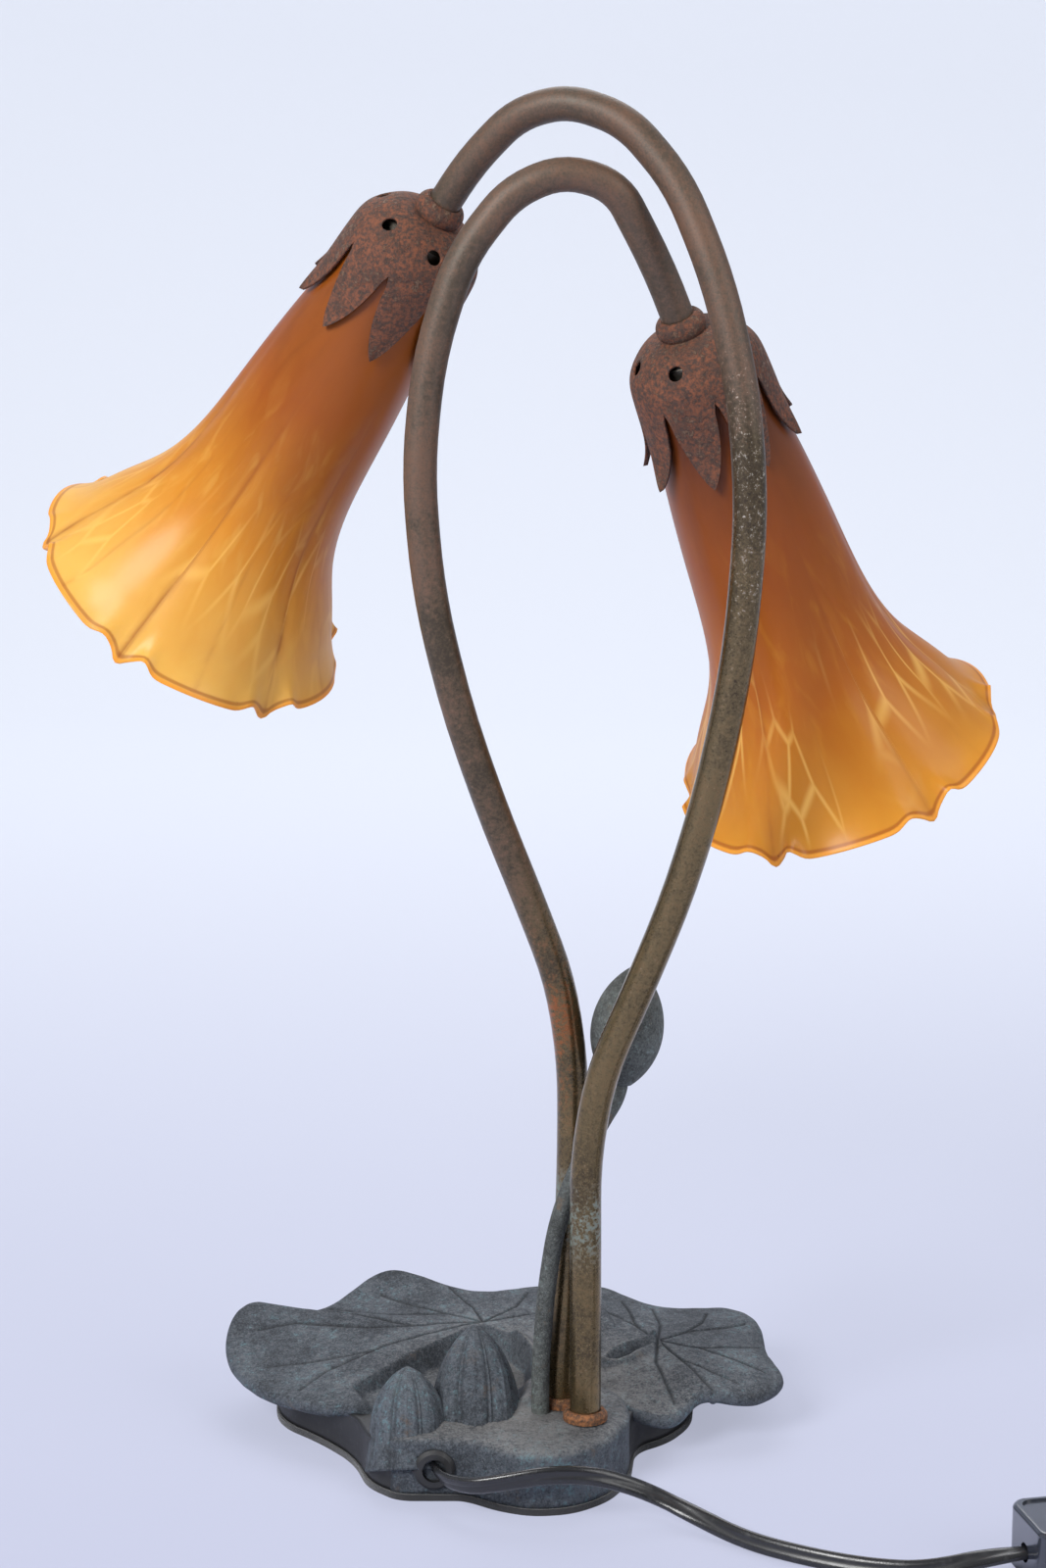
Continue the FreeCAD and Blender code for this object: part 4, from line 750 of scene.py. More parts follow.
NODE_FINISHES: dict[Finish, Sequence[str]] = {
    Finish.FELT: ["foot_felt"],
    Finish.BALLAST: ["foot_ballast_plate"],
    Finish.ZINC: ["ballast_screws", "tube_lock_nuts", "switch_pivot_pin", "switch_screws"],
    Finish.RUBBER: ["cord_grommet"],
    Finish.CLAMP: ["cord_clamp"],
    Finish.RUSTED_BRASS: ["tube_foot_washers"],
    Finish.CALYX: ["upper_collar", "lower_collar"],
    Finish.NYLON: ["wire_crimps"],
    Finish.TUBE: ["upper_tube", "lower_tube"],
    Finish.SLEEVE: ["upper_flex", "lower_flex"],
    Finish.BUD: ["free_bud", "bud_stem"],
    Finish.HOLDER_METAL: ["upper_holder_cap", "lower_holder_cap"],
    Finish.HOLDER: ["upper_holder_body", "lower_holder_body", "upper_shade_ring", "lower_shade_ring"],
    Finish.CONTACT: ["upper_holder_shell", "lower_holder_shell", "switch_terminals"],
    Finish.BULB_GLASS: ["upper_bulb_glass", "lower_bulb_glass"],
    Finish.PIN: ["upper_bulb_cap", "lower_bulb_cap", "plug_pins"],
    Finish.SWITCH_CASE: ["switch_bottom_cover", "switch_top_cover"],
    Finish.SWITCH_KEY: ["switch_rocker"],
    Finish.PLUG: ["plug_body", "plug_boot"],
}


# ---------------------------------------------------------------- the shades
@dataclass
class TulipShade:
    """A blown glass shade: six ruffled petals in one bell, open at the mouth, with a hole at the neck.

    Sizes are in millimetres, and s runs down the axis from the top of the calyx.
    """

    name: str
    light: Light
    phase: float
    glass: AmberGlass
    length: float = 155.0
    wall: float = 2.6
    top: float = 13.5
    hole: float = 12.6
    petals: int = 6
    flare: float = 5.0
    curl: float = 5.0
    nib_reach: float = 2.2
    nib_width: float = 0.045
    notch_depth: float = 3.0
    notch_at: float = 0.14
    notch_width: float = 0.07
    crease_depth: float = 0.5
    crease_width: float = 0.12
    lip_round: float = 1.2
    ear_rise: float = 4.6
    ear_reach: float = 0.8
    ear_at: float = 0.86
    ear_width: float = 0.06
    mouth_from: float = 0.6
    lip_from: float = 0.9
    crease_from: float = 40.0
    bend: float = 0.72
    neck_rows: int = 40
    lip_rows: int = 36
    profile: Sequence[tuple[float, float]] = ((16.8, 13.5), (17.9, 16.0), (18.4, 24.0), (20.0, 40.0), (21.7, 54.0),
                                              (23.2, 70.0), (24.7, 88.0), (27.5, 106.0), (32.3, 120.0), (38.7, 132.0),
                                              (44.0, 142.5), (49.4, 155.0))
    around: int = 240

    def radius(self, s: np.ndarray) -> np.ndarray:
        """Plain outer radius at each s: a cubic through the profile's points."""
        stations = np.array(self.profile)
        return cubic(stations[:, 1], stations[:, :1], s.ravel())[:, 0].reshape(s.shape)

    def skin(self, s: np.ndarray, share: np.ndarray, inward: float) -> np.ndarray:
        """A skin's points: the plain bell, plus a flare that grows at each petal's middle and a nib at its ends.

        The middle also curls back up near the lip, a notch is drawn up beside the first end and an ear beside
        the last, and a shallow crease runs down between petals.

        Args:
            s: Way down the axis.
            share: Way round, in petals.
            inward: How far the skin lies inside the outer one.

        Returns:
            Local points.
        """
        part = np.mod(share, 1.0)
        end = np.minimum(part, 1.0 - part)
        angle = TAU * (share - 0.5) / self.petals
        slope = self.radius(s + 0.5) - self.radius(s - 0.5)
        mouth, lip = (np.clip((s / self.length - start) / (1.0 - start), 0.0, None)
                      for start in (self.mouth_from, self.lip_from))
        middle = np.clip(np.sin(math.pi * part), 0.0, None)
        nib = self.nib_reach * hump(end, self.nib_width)
        notch = self.notch_depth * np.clip(hump(part - self.notch_at, self.notch_width) - 0.02, 0.0, None)
        ear = hump(part - self.ear_at, self.ear_width) * lip ** 2
        crease = self.crease_depth * hump(end, self.crease_width) * np.clip(s / self.crease_from - 1.0, 0.0, 1.0)
        out = self.flare * (0.35 * mouth ** 2 + 0.65 * lip ** 2) * (middle ** 0.8 - 0.25) + nib * lip
        out = out + self.ear_reach * ear
        down = lip ** 2 * (nib - 0.8 * self.curl * middle ** 1.2 - notch) - self.ear_rise * ear
        reach = self.radius(s) + out - crease - inward * np.hypot(1.0, slope)
        return np.stack([reach * np.cos(angle), reach * np.sin(angle), s + down], -1)

    def build(self) -> bpy.types.Object:
        """Builds and dresses the shade: inner skin down, half-round lip, outer skin up, then the flat top."""
        share = np.linspace(0.0, self.petals, self.around, endpoint=False)[None, :]
        lip, bend = self.length - self.lip_round, self.bend * self.length
        down = np.concatenate([np.linspace(self.top + self.wall, bend, self.neck_rows, endpoint=False),
                               np.linspace(bend, lip, self.lip_rows)])[:, None]
        up = np.concatenate([np.linspace(lip, bend, self.lip_rows),
                             np.linspace(bend, self.top, self.neck_rows + 2)[1:]])[:, None]
        inner = self.skin(down + 0.0 * share, share + 0.0 * down, self.wall)
        outer = self.skin(up + 0.0 * share, share + 0.0 * up, 0.0)
        a, b = inner[-1], outer[0]
        ahead = (a - inner[-2]) / np.linalg.norm(a - inner[-2], axis=-1, keepdims=True)
        turn = np.linspace(0.0, math.pi, 9)[1:-1, None, None]
        bead = (a + b) / 2 + (a - b) / 2 * np.cos(turn) + ahead * self.lip_round * np.sin(turn)
        angle = TAU * (share[0] - 0.5) / self.petals
        rings = [np.stack([self.hole * np.cos(angle), self.hole * np.sin(angle), np.full(self.around, h)], -1)
                 for h in (self.top, self.top + self.wall)]
        grid = np.concatenate([rings[1][None], inner, bead, outer, rings[0][None]])
        s = np.concatenate([[self.top], down[:, 0], np.full(len(bead), self.length), up[:, 0], [self.top]])
        part = np.mod(share, 1.0)
        rim = hump(self.length - s, 2.6)[:, None]
        crease = hump(np.minimum(part, 1.0 - part), 0.022) + 0.35 * hump(part - 0.53, 0.016)
        marks = {"along": (s / self.length)[:, None], "round": share / self.petals, "rim": rim, "crease": crease}
        piece = grid_mesh(f"{self.name}_tulip_shade", Stand(*self.light, self.phase).place(grid), True, True, marks)
        return dress(piece, self.glass.material(), "amber_glass", f"{self.name}_shade")


@dataclass
class PressedCalyx:
    """The pressed cap over a shade's neck: a domed cup with vents, cut into leaf-shaped sepals.

    Each sepal's half width falls from a full sector at the slit to nothing at its tip.
    """

    name: str
    light: Light
    phase: float
    vent_phase: float
    curls: Sequence[float]
    material: bpy.types.Material
    sheet: float = 0.8
    radius: float = 20.4
    length: float = 39.5
    bore: float = 4.85
    slit: float = 14.0
    sepals: int = 8
    vents: int = 6
    vent_radius: float = 2.2
    vent_depth: float = 4.3
    vent_slope: float = 0.78
    ridge: float = 0.45
    rows: int = 64
    half_columns: int = 9
    vent_ring: float = 15.8
    tip_flare: float = 1.8
    weld: float = 1.2e-5
    thin: float = 1e-6

    def section(self, way: np.ndarray, inward: float) -> np.ndarray:
        """Radius and depth down the section: a cubic through its points, by length.

        Args:
            way: Share of the way from the bore to the tips.
            inward: How far the skin lies inside the outer one.

        Returns:
            Radius and depth in the last axis.
        """
        shoulder = self.radius - inward
        stations = np.array([(self.bore, inward), (8.2 - inward * 0.3, inward),
                             (12.8 - inward * 0.6, 1.5 + inward * 0.8),
                             (self.vent_ring - inward * 0.75, 4.1 + inward * 0.65),
                             (19.0 - inward, 8.6 + inward * 0.3), (shoulder - 0.3, 14.5), (shoulder, 22.0),
                             (shoulder + 0.4, 31.0), (shoulder + self.tip_flare, self.length)])
        knots = np.concatenate([[0.0], np.cumsum(np.hypot(*np.diff(stations, axis=0).T))])
        return cubic(knots / knots[-1], stations, way.ravel()).reshape(*way.shape, 2)

    def face(self, k: int, way: np.ndarray, across: np.ndarray, inward: float) -> np.ndarray:
        """One sector's points: its half width, times a leaf of (1 - t to the 1.8) to the 0.8 past the slit.

        The tip curls out with the cube of the way down the sepal, its edge waves and its middle has a low ridge.

        Args:
            k: Number of the sector.
            way: Share of the way from the bore to the tips.
            across: Place from -1 to 1 over the sepal's own width.
            inward: How far the skin lies inside the outer one.

        Returns:
            Local points.
        """
        line = self.section(way, inward)
        radius, depth = line[..., 0], line[..., 1]
        t = np.clip((depth - self.slit) / (self.length - self.slit), 0.0, 1.0)
        leaf = np.clip(1.0 - t ** 1.8, 0.0, 1.0) ** 0.8 * (1.0 - 0.1 * smoothstep(0.0, 0.15, t))
        middle = TAU * k / self.sepals
        angle = middle + across * math.pi / self.sepals * leaf
        wave = np.sin(3.1 * k + 2.0 * across) * 0.35 * t
        ridge = self.ridge * hump(across, 0.3) * t * (1.0 - t)
        radius = radius + self.curls[k] * t ** 3 + wave + ridge
        depth = depth - 0.12 * abs(self.curls[k]) * t ** 3
        return np.stack([radius * np.cos(angle), radius * np.sin(angle), depth], -1)

    def build(self) -> bpy.types.Object:
        """Builds and dresses the calyx: sector by sector, outside, edge and inside in one closed sheet."""
        rows = self.rows
        way = np.linspace(0.0, 1.0, rows) ** 0.85
        across = np.sin(np.linspace(-1.0, 1.0, 2 * self.half_columns + 1) * math.pi / 2)
        w, c = np.meshgrid(way, across, indexing="ij")
        stand = Stand(*self.light, self.phase)
        verts, faces = [], []
        for k in range(self.sepals):
            outer, inner = self.face(k, w, c, 0.0), self.face(k, w, c, self.sheet)
            part = np.concatenate([outer, inner[:, ::-1]], axis=1)
            count = part.shape[1]
            cap = np.arange(count // 2)
            fore, back = cap[:-1], count - 1 - cap[:-1]
            head = np.stack([fore, back, back - 1, cap[1:]], -1)
            closing = np.stack([fore, cap[1:], back - 1, back], -1) + (rows - 1) * count
            ring = weave(rows, count, False, True)
            side = np.isin(ring % count, [count // 2 - 1, count // 2]).sum(1) == 4
            side |= np.isin(ring % count, [count - 1, 0]).sum(1) == 4
            depth = part.reshape(-1, 3)[ring, 2].min(1)
            ring = ring[~(side & (depth < self.slit - 0.4))]
            faces.append(np.concatenate([ring, closing, head]) + k * rows * count)
            verts.append(stand.place(part.reshape(-1, 3)))
        piece = solid_mesh(f"{self.name}_pressed_calyx", np.concatenate(verts), np.concatenate(faces), self.weld,
                           self.thin)
        vent = Stand(self.light[0], self.light[1], self.vent_phase)
        angle = TAU * np.arange(self.vents) / self.vents
        around = np.stack([np.cos(angle), np.sin(angle), 0.0 * angle], -1)
        spots = self.vent_ring * around + [0.0, 0.0, self.vent_depth]
        out = self.vent_slope * around - [0.0, 0.0, 1.0]
        ways = vent.place(spots + out) - vent.place(spots)
        bored(piece, vent.place(spots), self.vent_radius, 5.0, ways)
        piece.data.shade_smooth()
        return dress(piece, self.material, "pressed_brass", f"{self.name}_calyx")


# ---------------------------------------------------------------- the foot
@dataclass(frozen=True)
class Relief:
    """A raised or cut line on the casting: its height falls off with the square of the distance over its width."""

    line: Sequence[tuple[float, float]]
    height: float
    width: float

    def at(self, plan: np.ndarray) -> np.ndarray:
        """Height added at each point."""
        return self.height * hump(to_line(plan, self.line), self.width)


VEIN_DEPTH, VEIN_WIDTH = -0.7, 0.5
LEFT_VEINS = [
    [(-6.7, 35.0), (-24.0, 33.0), (-45.0, 30.0), (-67.6, 31.2), (-80.0, 27.0)],
    [(-30.0, 32.4), (-50.0, 38.0), (-72.0, 42.3)],
    [(-6.7, 35.0), (-18.0, 42.0), (-30.0, 49.0), (-41.4, 58.0)],
    [(-18.0, 42.0), (-38.0, 43.0), (-58.0, 51.0)],
    [(-6.7, 35.0), (-24.0, 26.0), (-42.0, 14.0), (-56.7, 1.6), (-64.0, -8.0)],
    [(-42.0, 14.0), (-60.0, 9.0), (-76.0, 8.0)],
    [(-6.7, 35.0), (-10.0, 48.0), (-18.0, 60.0)],
    [(-6.7, 35.0), (4.0, 48.0), (8.0, 62.0)],
    [(-6.7, 35.0), (10.0, 42.0), (26.0, 50.0)],
]
RIGHT_VEINS = [
    [(50.5, 24.0), (60.0, 32.0), (73.1, 38.3), (80.0, 43.0)],
    [(60.0, 32.0), (66.0, 42.0), (68.0, 52.0)],
    [(50.5, 24.0), (64.0, 19.0), (79.3, 8.4), (84.0, 5.0)],
    [(64.0, 19.0), (76.0, 22.0), (83.0, 24.0)],
    [(50.5, 24.0), (57.0, 10.0), (63.4, -5.0), (66.0, -10.0)],
    [(57.0, 10.0), (66.0, 2.0), (75.0, -4.0)],
    [(50.5, 24.0), (49.0, 8.0), (52.0, -6.0), (54.0, -14.0)],
    [(50.5, 24.0), (44.0, 38.0), (33.8, 48.6), (28.0, 56.0)],
    [(50.5, 24.0), (52.0, 40.0), (50.0, 54.0)],
    [(44.0, 38.0), (42.0, 50.0), (40.0, 58.0)],
]
FOLDS = [
    Relief([(4.0, 21.5), (8.5, 11.6), (10.0, 0.0), (8.6, -12.0), (7.6, -26.0)], 3.2, 3.4),
    Relief([(-2.0, 8.0), (1.0, -8.0), (1.0, -20.0)], -4.0, 5.0),
    Relief([(31.0, 6.0), (36.0, 15.0), (44.0, 21.0), (49.0, 22.0)], 2.4, 1.8),
    Relief([(33.0, 5.0), (41.0, 9.0), (47.0, 17.0), (49.0, 22.0)], 2.2, 1.7),
    Relief([(36.0, 9.5), (41.0, 14.5), (46.0, 19.0)], -3.0, 2.2),
]


@dataclass
class LilyPad:
    """One lily pad: a closed leaf whose top follows its rim, with engraved veins, folds and a rounded edge.

    A top point lies on the line from the middle to the rim. Its height goes from the middle's to the rim's with the
    square of the way out, and the reliefs are added.
    """

    name: str
    centre: Point
    rim: Sequence[Point]
    veins: Sequence[Sequence[tuple[float, float]]]
    material: bpy.types.Material
    gap: Sequence[tuple[float, float]] = ()
    gap_floor: float = 16.0
    thickness: float = 4.5
    around: int = 420
    rows: int = 84
    seed: float = 0.0
    dust_at: tuple[float, float] = (12.0, -10.0)
    dust_reach: float = 45.0

    def build(self) -> bpy.types.Object:
        """Builds and dresses the pad."""
        rim = np.array(self.rim)
        run = np.linalg.norm(np.roll(rim, -1, axis=0) - rim, axis=1)
        knots = np.concatenate([[0.0], np.cumsum(run)])
        edge = cubic(knots, rim, np.linspace(0.0, knots[-1], self.around, endpoint=False), periodic=True)
        middle = np.array(self.centre)
        away = edge - middle
        reach = np.hypot(away[:, 0], away[:, 1])
        inset = 1.0 - 0.5 * self.thickness / reach
        share = (np.linspace(0.0, 1.0, self.rows) ** 0.9)[:, None, None] * inset[None, :, None]
        top = middle + away * share
        top[..., 2] = middle[2] + away[:, 2] * share[..., 0] ** 2
        lift, groove = self._detail(top)
        top[..., 2] += lift
        out = away[:, :2] / reach[:, None]
        half = 0.5 * self.thickness
        turn = np.linspace(0.0, math.pi, 9)[1:-1, None]
        lip = np.repeat(top[-1][None], len(turn), axis=0)
        lip[..., :2] += out * (half * np.sin(turn))[..., None]
        lip[..., 2] += half * (np.cos(turn) - 1.0)
        under = top[::-6].copy()
        under[..., 2] -= self.thickness
        grid = np.concatenate([top, lip, under])
        rest = np.zeros((len(lip) + len(under), self.around))
        marks = {"groove": np.concatenate([groove, rest]), "hollow": np.concatenate([self._hollow(top), rest]),
                 "skirt": 0.0}
        piece = grid_mesh(self.name, grid, False, True, marks)
        return dress(piece, self.material, "cast_foot")

    def _detail(self, top: np.ndarray) -> tuple[np.ndarray, np.ndarray]:
        """Height added by veins, folds, waves and the gap, which pulls the top down to its floor.

        Args:
            top: Points of the plain top.

        Returns:
            The height added, and how deep each point lies in a vein.
        """
        depth = np.clip(sum(hump(to_line(top, vein), VEIN_WIDTH) for vein in self.veins), 0.0, 1.0)
        lift = VEIN_DEPTH * depth + sum(r.at(top) for r in FOLDS) + 0.35 * ripple(top, 31.0, self.seed)
        lift = lift + 0.12 * ripple(top, 9.0, self.seed + 1.0)
        if len(self.gap):
            open_ = smoothstep(-1.0, 2.4, inside(top, self.gap))
            lift = lift * (1 - open_) + open_ * (self.gap_floor - top[..., 2])
        return lift, depth

    def _hollow(self, top: np.ndarray) -> np.ndarray:
        """Share of dust that settles: a bell round the tubes' feet."""
        return hump(np.linalg.norm(top[..., :2] - self.dust_at, axis=-1), self.dust_reach)


def outline_curve(outline: Sequence[tuple[float, float]], count: int, roundness: float = 0.5) -> np.ndarray:
    """A closed outline as evenly spaced points: its corners are cut back by a quadratic curve.

    Args:
        outline: Corners in plan.
        count: Points to return.
        roundness: Share of each half side that the curve takes.

    Returns:
        The points.
    """
    corners = np.asarray(outline, float)
    before, after = np.roll(corners, 1, axis=0), np.roll(corners, -1, axis=0)
    start, end = corners + (before - corners) * roundness, corners + (after - corners) * roundness
    t = np.linspace(0.0, 1.0, 12)[None, :, None]
    curve = ((1 - t) ** 2 * start[:, None] + 2 * t * (1 - t) * corners[:, None] + t ** 2 * end[:, None]).reshape(-1, 2)
    curve = np.vstack([curve, curve[:1]])
    way = np.concatenate([[0.0], np.cumsum(np.linalg.norm(np.diff(curve, axis=0), axis=1))])
    at = np.linspace(0.0, way[-1], count, endpoint=False)
    return np.stack([np.interp(at, way, curve[:, 0]), np.interp(at, way, curve[:, 1])], -1)


FRONT = ((-12.0, -51.7), (-8.2, -53.6), (-1.0, -59.0), (9.0, -63.0), (21.0, -61.4), (31.6, -53.0), (38.8, -38.6))
OUTLET_FLAT = ((-32.6, -50.2), (-28.6, -51.7))


@dataclass
class CastBase:
    """The casting under the pads: the raised platform in front, the black skirt behind and two modelled buds."""

    material: bpy.types.Material
    base: float = 2.0
    platform_height: float = 20.0
    edge_radius: float = 3.4
    outlet: Point = (-20.2, -51.7, 10.0)
    outlet_radius: float = 4.6
    around: int = 360
    bud_around: int = 288
    foot_outline: Sequence[tuple[float, float]] = (
        *FRONT, (41.0, -16.0), (52.0, -8.0), (60.0, 6.0), (62.0, 28.0), (52.0, 46.0), (30.0, 55.0), (4.0, 54.0),
        (-22.0, 56.0), (-46.0, 54.0), (-64.0, 42.0), (-74.0, 24.0), (-71.0, 6.0), (-57.0, -8.0), (-45.5, -24.0),
        (-40.5, -42.0), *OUTLET_FLAT)
    platform_outline: Sequence[tuple[float, float]] = (
        *FRONT, (40.4, -20.0), (33.0, -4.0), (16.0, -2.0), (0.0, -8.0), (-16.0, -18.0), (-29.0, -25.0),
        (-34.0, -40.0), (-34.4, -48.0), *OUTLET_FLAT)
    large_bud: tuple[Point, Point, float] = ((-8.0, -30.0, 14.0), (-8.6, -13.5, 41.5), 13.6)
    small_bud: tuple[Point, Point, float] = ((-28.4, -38.0, 15.0), (-29.0, -29.5, 34.0), 11.6)
    small_body: float = 13.2
    rib_height: float = 0.075
    rib_width: float = 0.04
    groove_depth: float = 0.08
    groove_width: float = 0.12
    skirt_top: float = 15.5
    skirt_edge: float = 1.5
    bore_length: float = 30.0
    ribs: int = 8

    def block(self, name: str, outline: Sequence[tuple[float, float]], middle: tuple[float, float], top: float,
              edge: float, skirt: float, slope: float = 0.0) -> bpy.types.Object:
        """A closed block: floor, wall up the outline, rounded edge and a top that dips and waves a little.

        Args:
            name: The piece's name.
            outline: Its plan.
            middle: Point in plan that the top's lines run to.
            top: Height of the top.
            edge: Radius of the top edge.
            skirt: 1 where the block is the smooth black skirt.
            slope: How far the top falls towards its edge.

        Returns:
            The piece.
        """
        plan = outline_curve(outline, self.around)
        centre = np.array(middle)
        away = plan - centre
        reach = np.linalg.norm(away, axis=1)
        wall, arc = np.linspace(self.base, top - edge, 10)[1:], np.linspace(0.0, math.pi / 2, 8)[1:]
        over = np.linspace(1.0, 0.0, 44)[1:]
        share = np.concatenate([[0.0, 0.5, 1.0], np.ones(len(wall) + len(arc)), over])
        inset = np.concatenate([np.zeros(3 + len(wall)), edge * (1.0 - np.cos(arc)), edge * over])
        level = np.concatenate([np.full(3, self.base), wall, top - edge + edge * np.sin(arc), np.full(len(over), top)])
        flat = centre + away * (share[:, None] - inset[:, None] / reach)[..., None]
        grid = np.concatenate([flat, np.broadcast_to(level[:, None, None], (*flat.shape[:2], 1))], -1)
        deck = smoothstep(top - edge, top, grid[..., 2])
        out = np.linalg.norm(grid[..., :2] - centre, axis=-1) / reach
        grid[..., 2] += deck * (0.3 * ripple(grid, 17.0) - slope * out ** 3)
        if not skirt:
            grid[..., 2] += deck * sum(r.at(grid) for r in FOLDS[:2]) * smoothstep(1.0, 0.8, out)
            grid[..., 2] = np.minimum(grid[..., 2], top + 4.0)
        wall = (1.0 - deck) * smoothstep(self.base, self.base + 3.0, grid[..., 2])
        grid[..., :2] -= (grid[..., :2] - centre) / 60.0 * (0.5 * wall * (1 + ripple(grid, 23.0)))[..., None]
        marks = {"groove": 0.0, "hollow": deck * (1.0 - 0.5 * out), "skirt": skirt}
        return grid_mesh(name, grid, False, True, marks)

    def bud(self, name: str, base: Point, tip: Point, radius: float, body: float) -> bpy.types.Object:
        """A ribbed bud: its radius falls to the tip, and each petal bulges between two raised ribs.

        The radius at height t is the base's times (1 - t to the 2.3) to the 0.72. A rib adds its height along its
        line and a groove round it takes its depth off, both as shares of the radius. Between ribs the petal bulges
        by 3 percent, and its middle line adds as much again.

        Args:
            name: The piece's name.
            base: Middle of its foot.
            tip: Its point.
            radius: Radius at its foot.
            body: Radius that it swells towards below its foot.

        Returns:
            The piece.
        """
        axis = np.array(tip) - np.array(base)
        length = float(np.linalg.norm(axis))
        t = np.concatenate([np.linspace(-0.5, 0.0, 10, endpoint=False), np.sin(np.linspace(0, math.pi / 2, 60))])
        angle = np.linspace(0.0, TAU, self.bud_around, endpoint=False)
        plain = radius * np.clip(1.0 - np.clip(t, 0.0, 1.0) ** 2.3, 0.0, 1.0) ** 0.72
        turn = np.mod(angle / TAU * self.ribs, 1.0)
        near = np.minimum(turn, 1.0 - turn)
        groove = hump(near, self.groove_width)
        shape = (1.0 + self.rib_height * hump(near, self.rib_width) - self.groove_depth * groove
                 - 0.03 * (1 - np.sin(math.pi * turn)) + 0.03 * hump(turn - 0.5, 0.05))
        swell = 1.0 + 0.25 * np.clip(-t, 0, 1) * (body / radius)
        reach = (plain * swell)[:, None] * shape[None, :]
        height = np.broadcast_to(t[:, None] * length, reach.shape)
        grid = np.stack([reach * np.cos(angle), reach * np.sin(angle), height], -1)
        grid = np.concatenate([grid[:1] * [0.0, 0.0, 1.0], grid])
        world = Stand(base, tuple(axis), 360 / self.ribs / 2).place(grid)
        world[..., 2] = np.maximum(world[..., 2], self.base)
        marks = {"groove": 0.5 * groove * (near > 0.045), "hollow": 0.0, "skirt": 0.0}
        return dress(grid_mesh(name, world, False, True, marks), self.material, "cast_foot")

    def build(self) -> None:
        """Builds and dresses the platform and the skirt, both bored for the cord, and the buds."""
        platform = self.block("foot_platform", self.platform_outline, (2.0, -34.0), self.platform_height,
                              self.edge_radius, 0.0, 1.2)
        skirt = self.block("foot_skirt", self.foot_outline, (-4.0, 2.0), self.skirt_top, self.skirt_edge, 1.0)
        out = np.array([0.0, -1.0, 0.0])
        for piece, nodes in ((platform, ["foot_casting"]), (skirt, [])):
            bored(piece, [np.array(self.outlet)], self.outlet_radius, self.bore_length, [out])
            piece.data.shade_smooth()
            dress(piece, self.material, "cast_foot", *nodes)
        self.bud("foot_large_bud", *self.large_bud, 0.0)
        self.bud("foot_small_bud", *self.small_bud, self.small_body)


# ---------------------------------------------------------------- the cord
@dataclass
class FlatCord:
    """A flat twin cord along a smooth line: two round cores side by side with a groove between.

    Across, a point lies at half width times cos a, and half thickness times sin a to the power of the
    squareness. The thickness sinks at the middle by the groove's share.
    """

    name: str
    route: np.ndarray
    nodes: Sequence[str]
    leaves: Point
    length: float
    far_end: str
    pieces: Sequence[str]
    material: bpy.types.Material
    lay: str = "loose"
    width: float = 5.5
    thickness: float = 2.8
    groove_width: float = 0.7
    groove_depth: float = 0.3
    squareness: float = 0.7
    table: float = 0.02
    twist: Sequence[tuple[float, float]] = ((0.0, 0.0), (1.0, 0.0))
    sides: int = 28

    def centreline(self) -> np.ndarray:
        """Points of the NURBS spline whose control points are the route."""
        curve = bpy.data.curves.new(self.name + "_line", "CURVE")
        curve.dimensions = "3D"
        curve.resolution_u = curve.render_resolution_u = 12
        spline = curve.splines.new("NURBS")
        spline.points.add(len(self.route) - 1)
        control = np.column_stack([self.route * MM, np.ones(len(self.route))]).astype(np.float32)
        spline.points.foreach_set("co", control.ravel())
        spline.order_u = 3
        spline.use_endpoint_u = True
        holder = linked(self.name + "_line", curve)
        bpy.context.view_layer.update()
        line = bpy.data.meshes.new_from_object(holder.evaluated_get(bpy.context.evaluated_depsgraph_get()))
        points = np.zeros(len(line.vertices) * 3, np.float32)
        line.vertices.foreach_get("co", points)
        bpy.data.meshes.remove(line)
        bpy.data.objects.remove(holder)
        return points.reshape(-1, 3).astype(float) / MM

    def build(self) -> bpy.types.Object:
        line = self.centreline()
        keep = np.concatenate([[True], np.linalg.norm(np.diff(line, axis=0), axis=1) > 1e-4])
        line = line[keep]
        ahead = np.gradient(line, axis=0)
        ahead /= np.linalg.norm(ahead, axis=1, keepdims=True)
        side = np.cross(ahead, [0.0, 0.0, 1.0])
        side /= np.linalg.norm(side, axis=1, keepdims=True)
        over = np.cross(side, ahead)
        way = np.concatenate([[0.0], np.cumsum(np.linalg.norm(np.diff(line, axis=0), axis=1))])
        marks = np.array(self.twist)
        turn = np.radians(np.interp(way / way[-1], marks[:, 0], marks[:, 1]))[:, None]
        side, over = side * np.cos(turn) + over * np.sin(turn), over * np.cos(turn) - side * np.sin(turn)
        a = np.linspace(0.0, TAU, self.sides, endpoint=False)
        x = 0.5 * self.width * np.cos(a)
        dip = hump(x, self.groove_width)
        y = 0.5 * self.thickness * np.sign(np.sin(a)) * np.abs(np.sin(a)) ** self.squareness
        y = y * (1.0 - self.groove_depth * dip)
        tube = line[:, None] + side[:, None] * x[None, :, None] + over[:, None] * y[None, :, None]
        grid = np.concatenate([line[:1, None] + 0 * tube[:1], tube, line[-1:, None] + 0 * tube[:1]])
        grid[..., 2] = np.maximum(grid[..., 2], self.table)
        piece = grid_mesh(self.name, grid, False, True, {"groove": dip[None, :]})
        dress(piece, self.material, "cord_pvc", *self.nodes)
        self.width * MM
        return piece


LEAD_TWIST = ((0.0, 35.0), (0.12, 68.0), (0.3, 100.0), (0.44, 150.0), (0.56, 105.0), (0.85, 115.0), (0.97, 180.0),
              (1.0, 180.0))


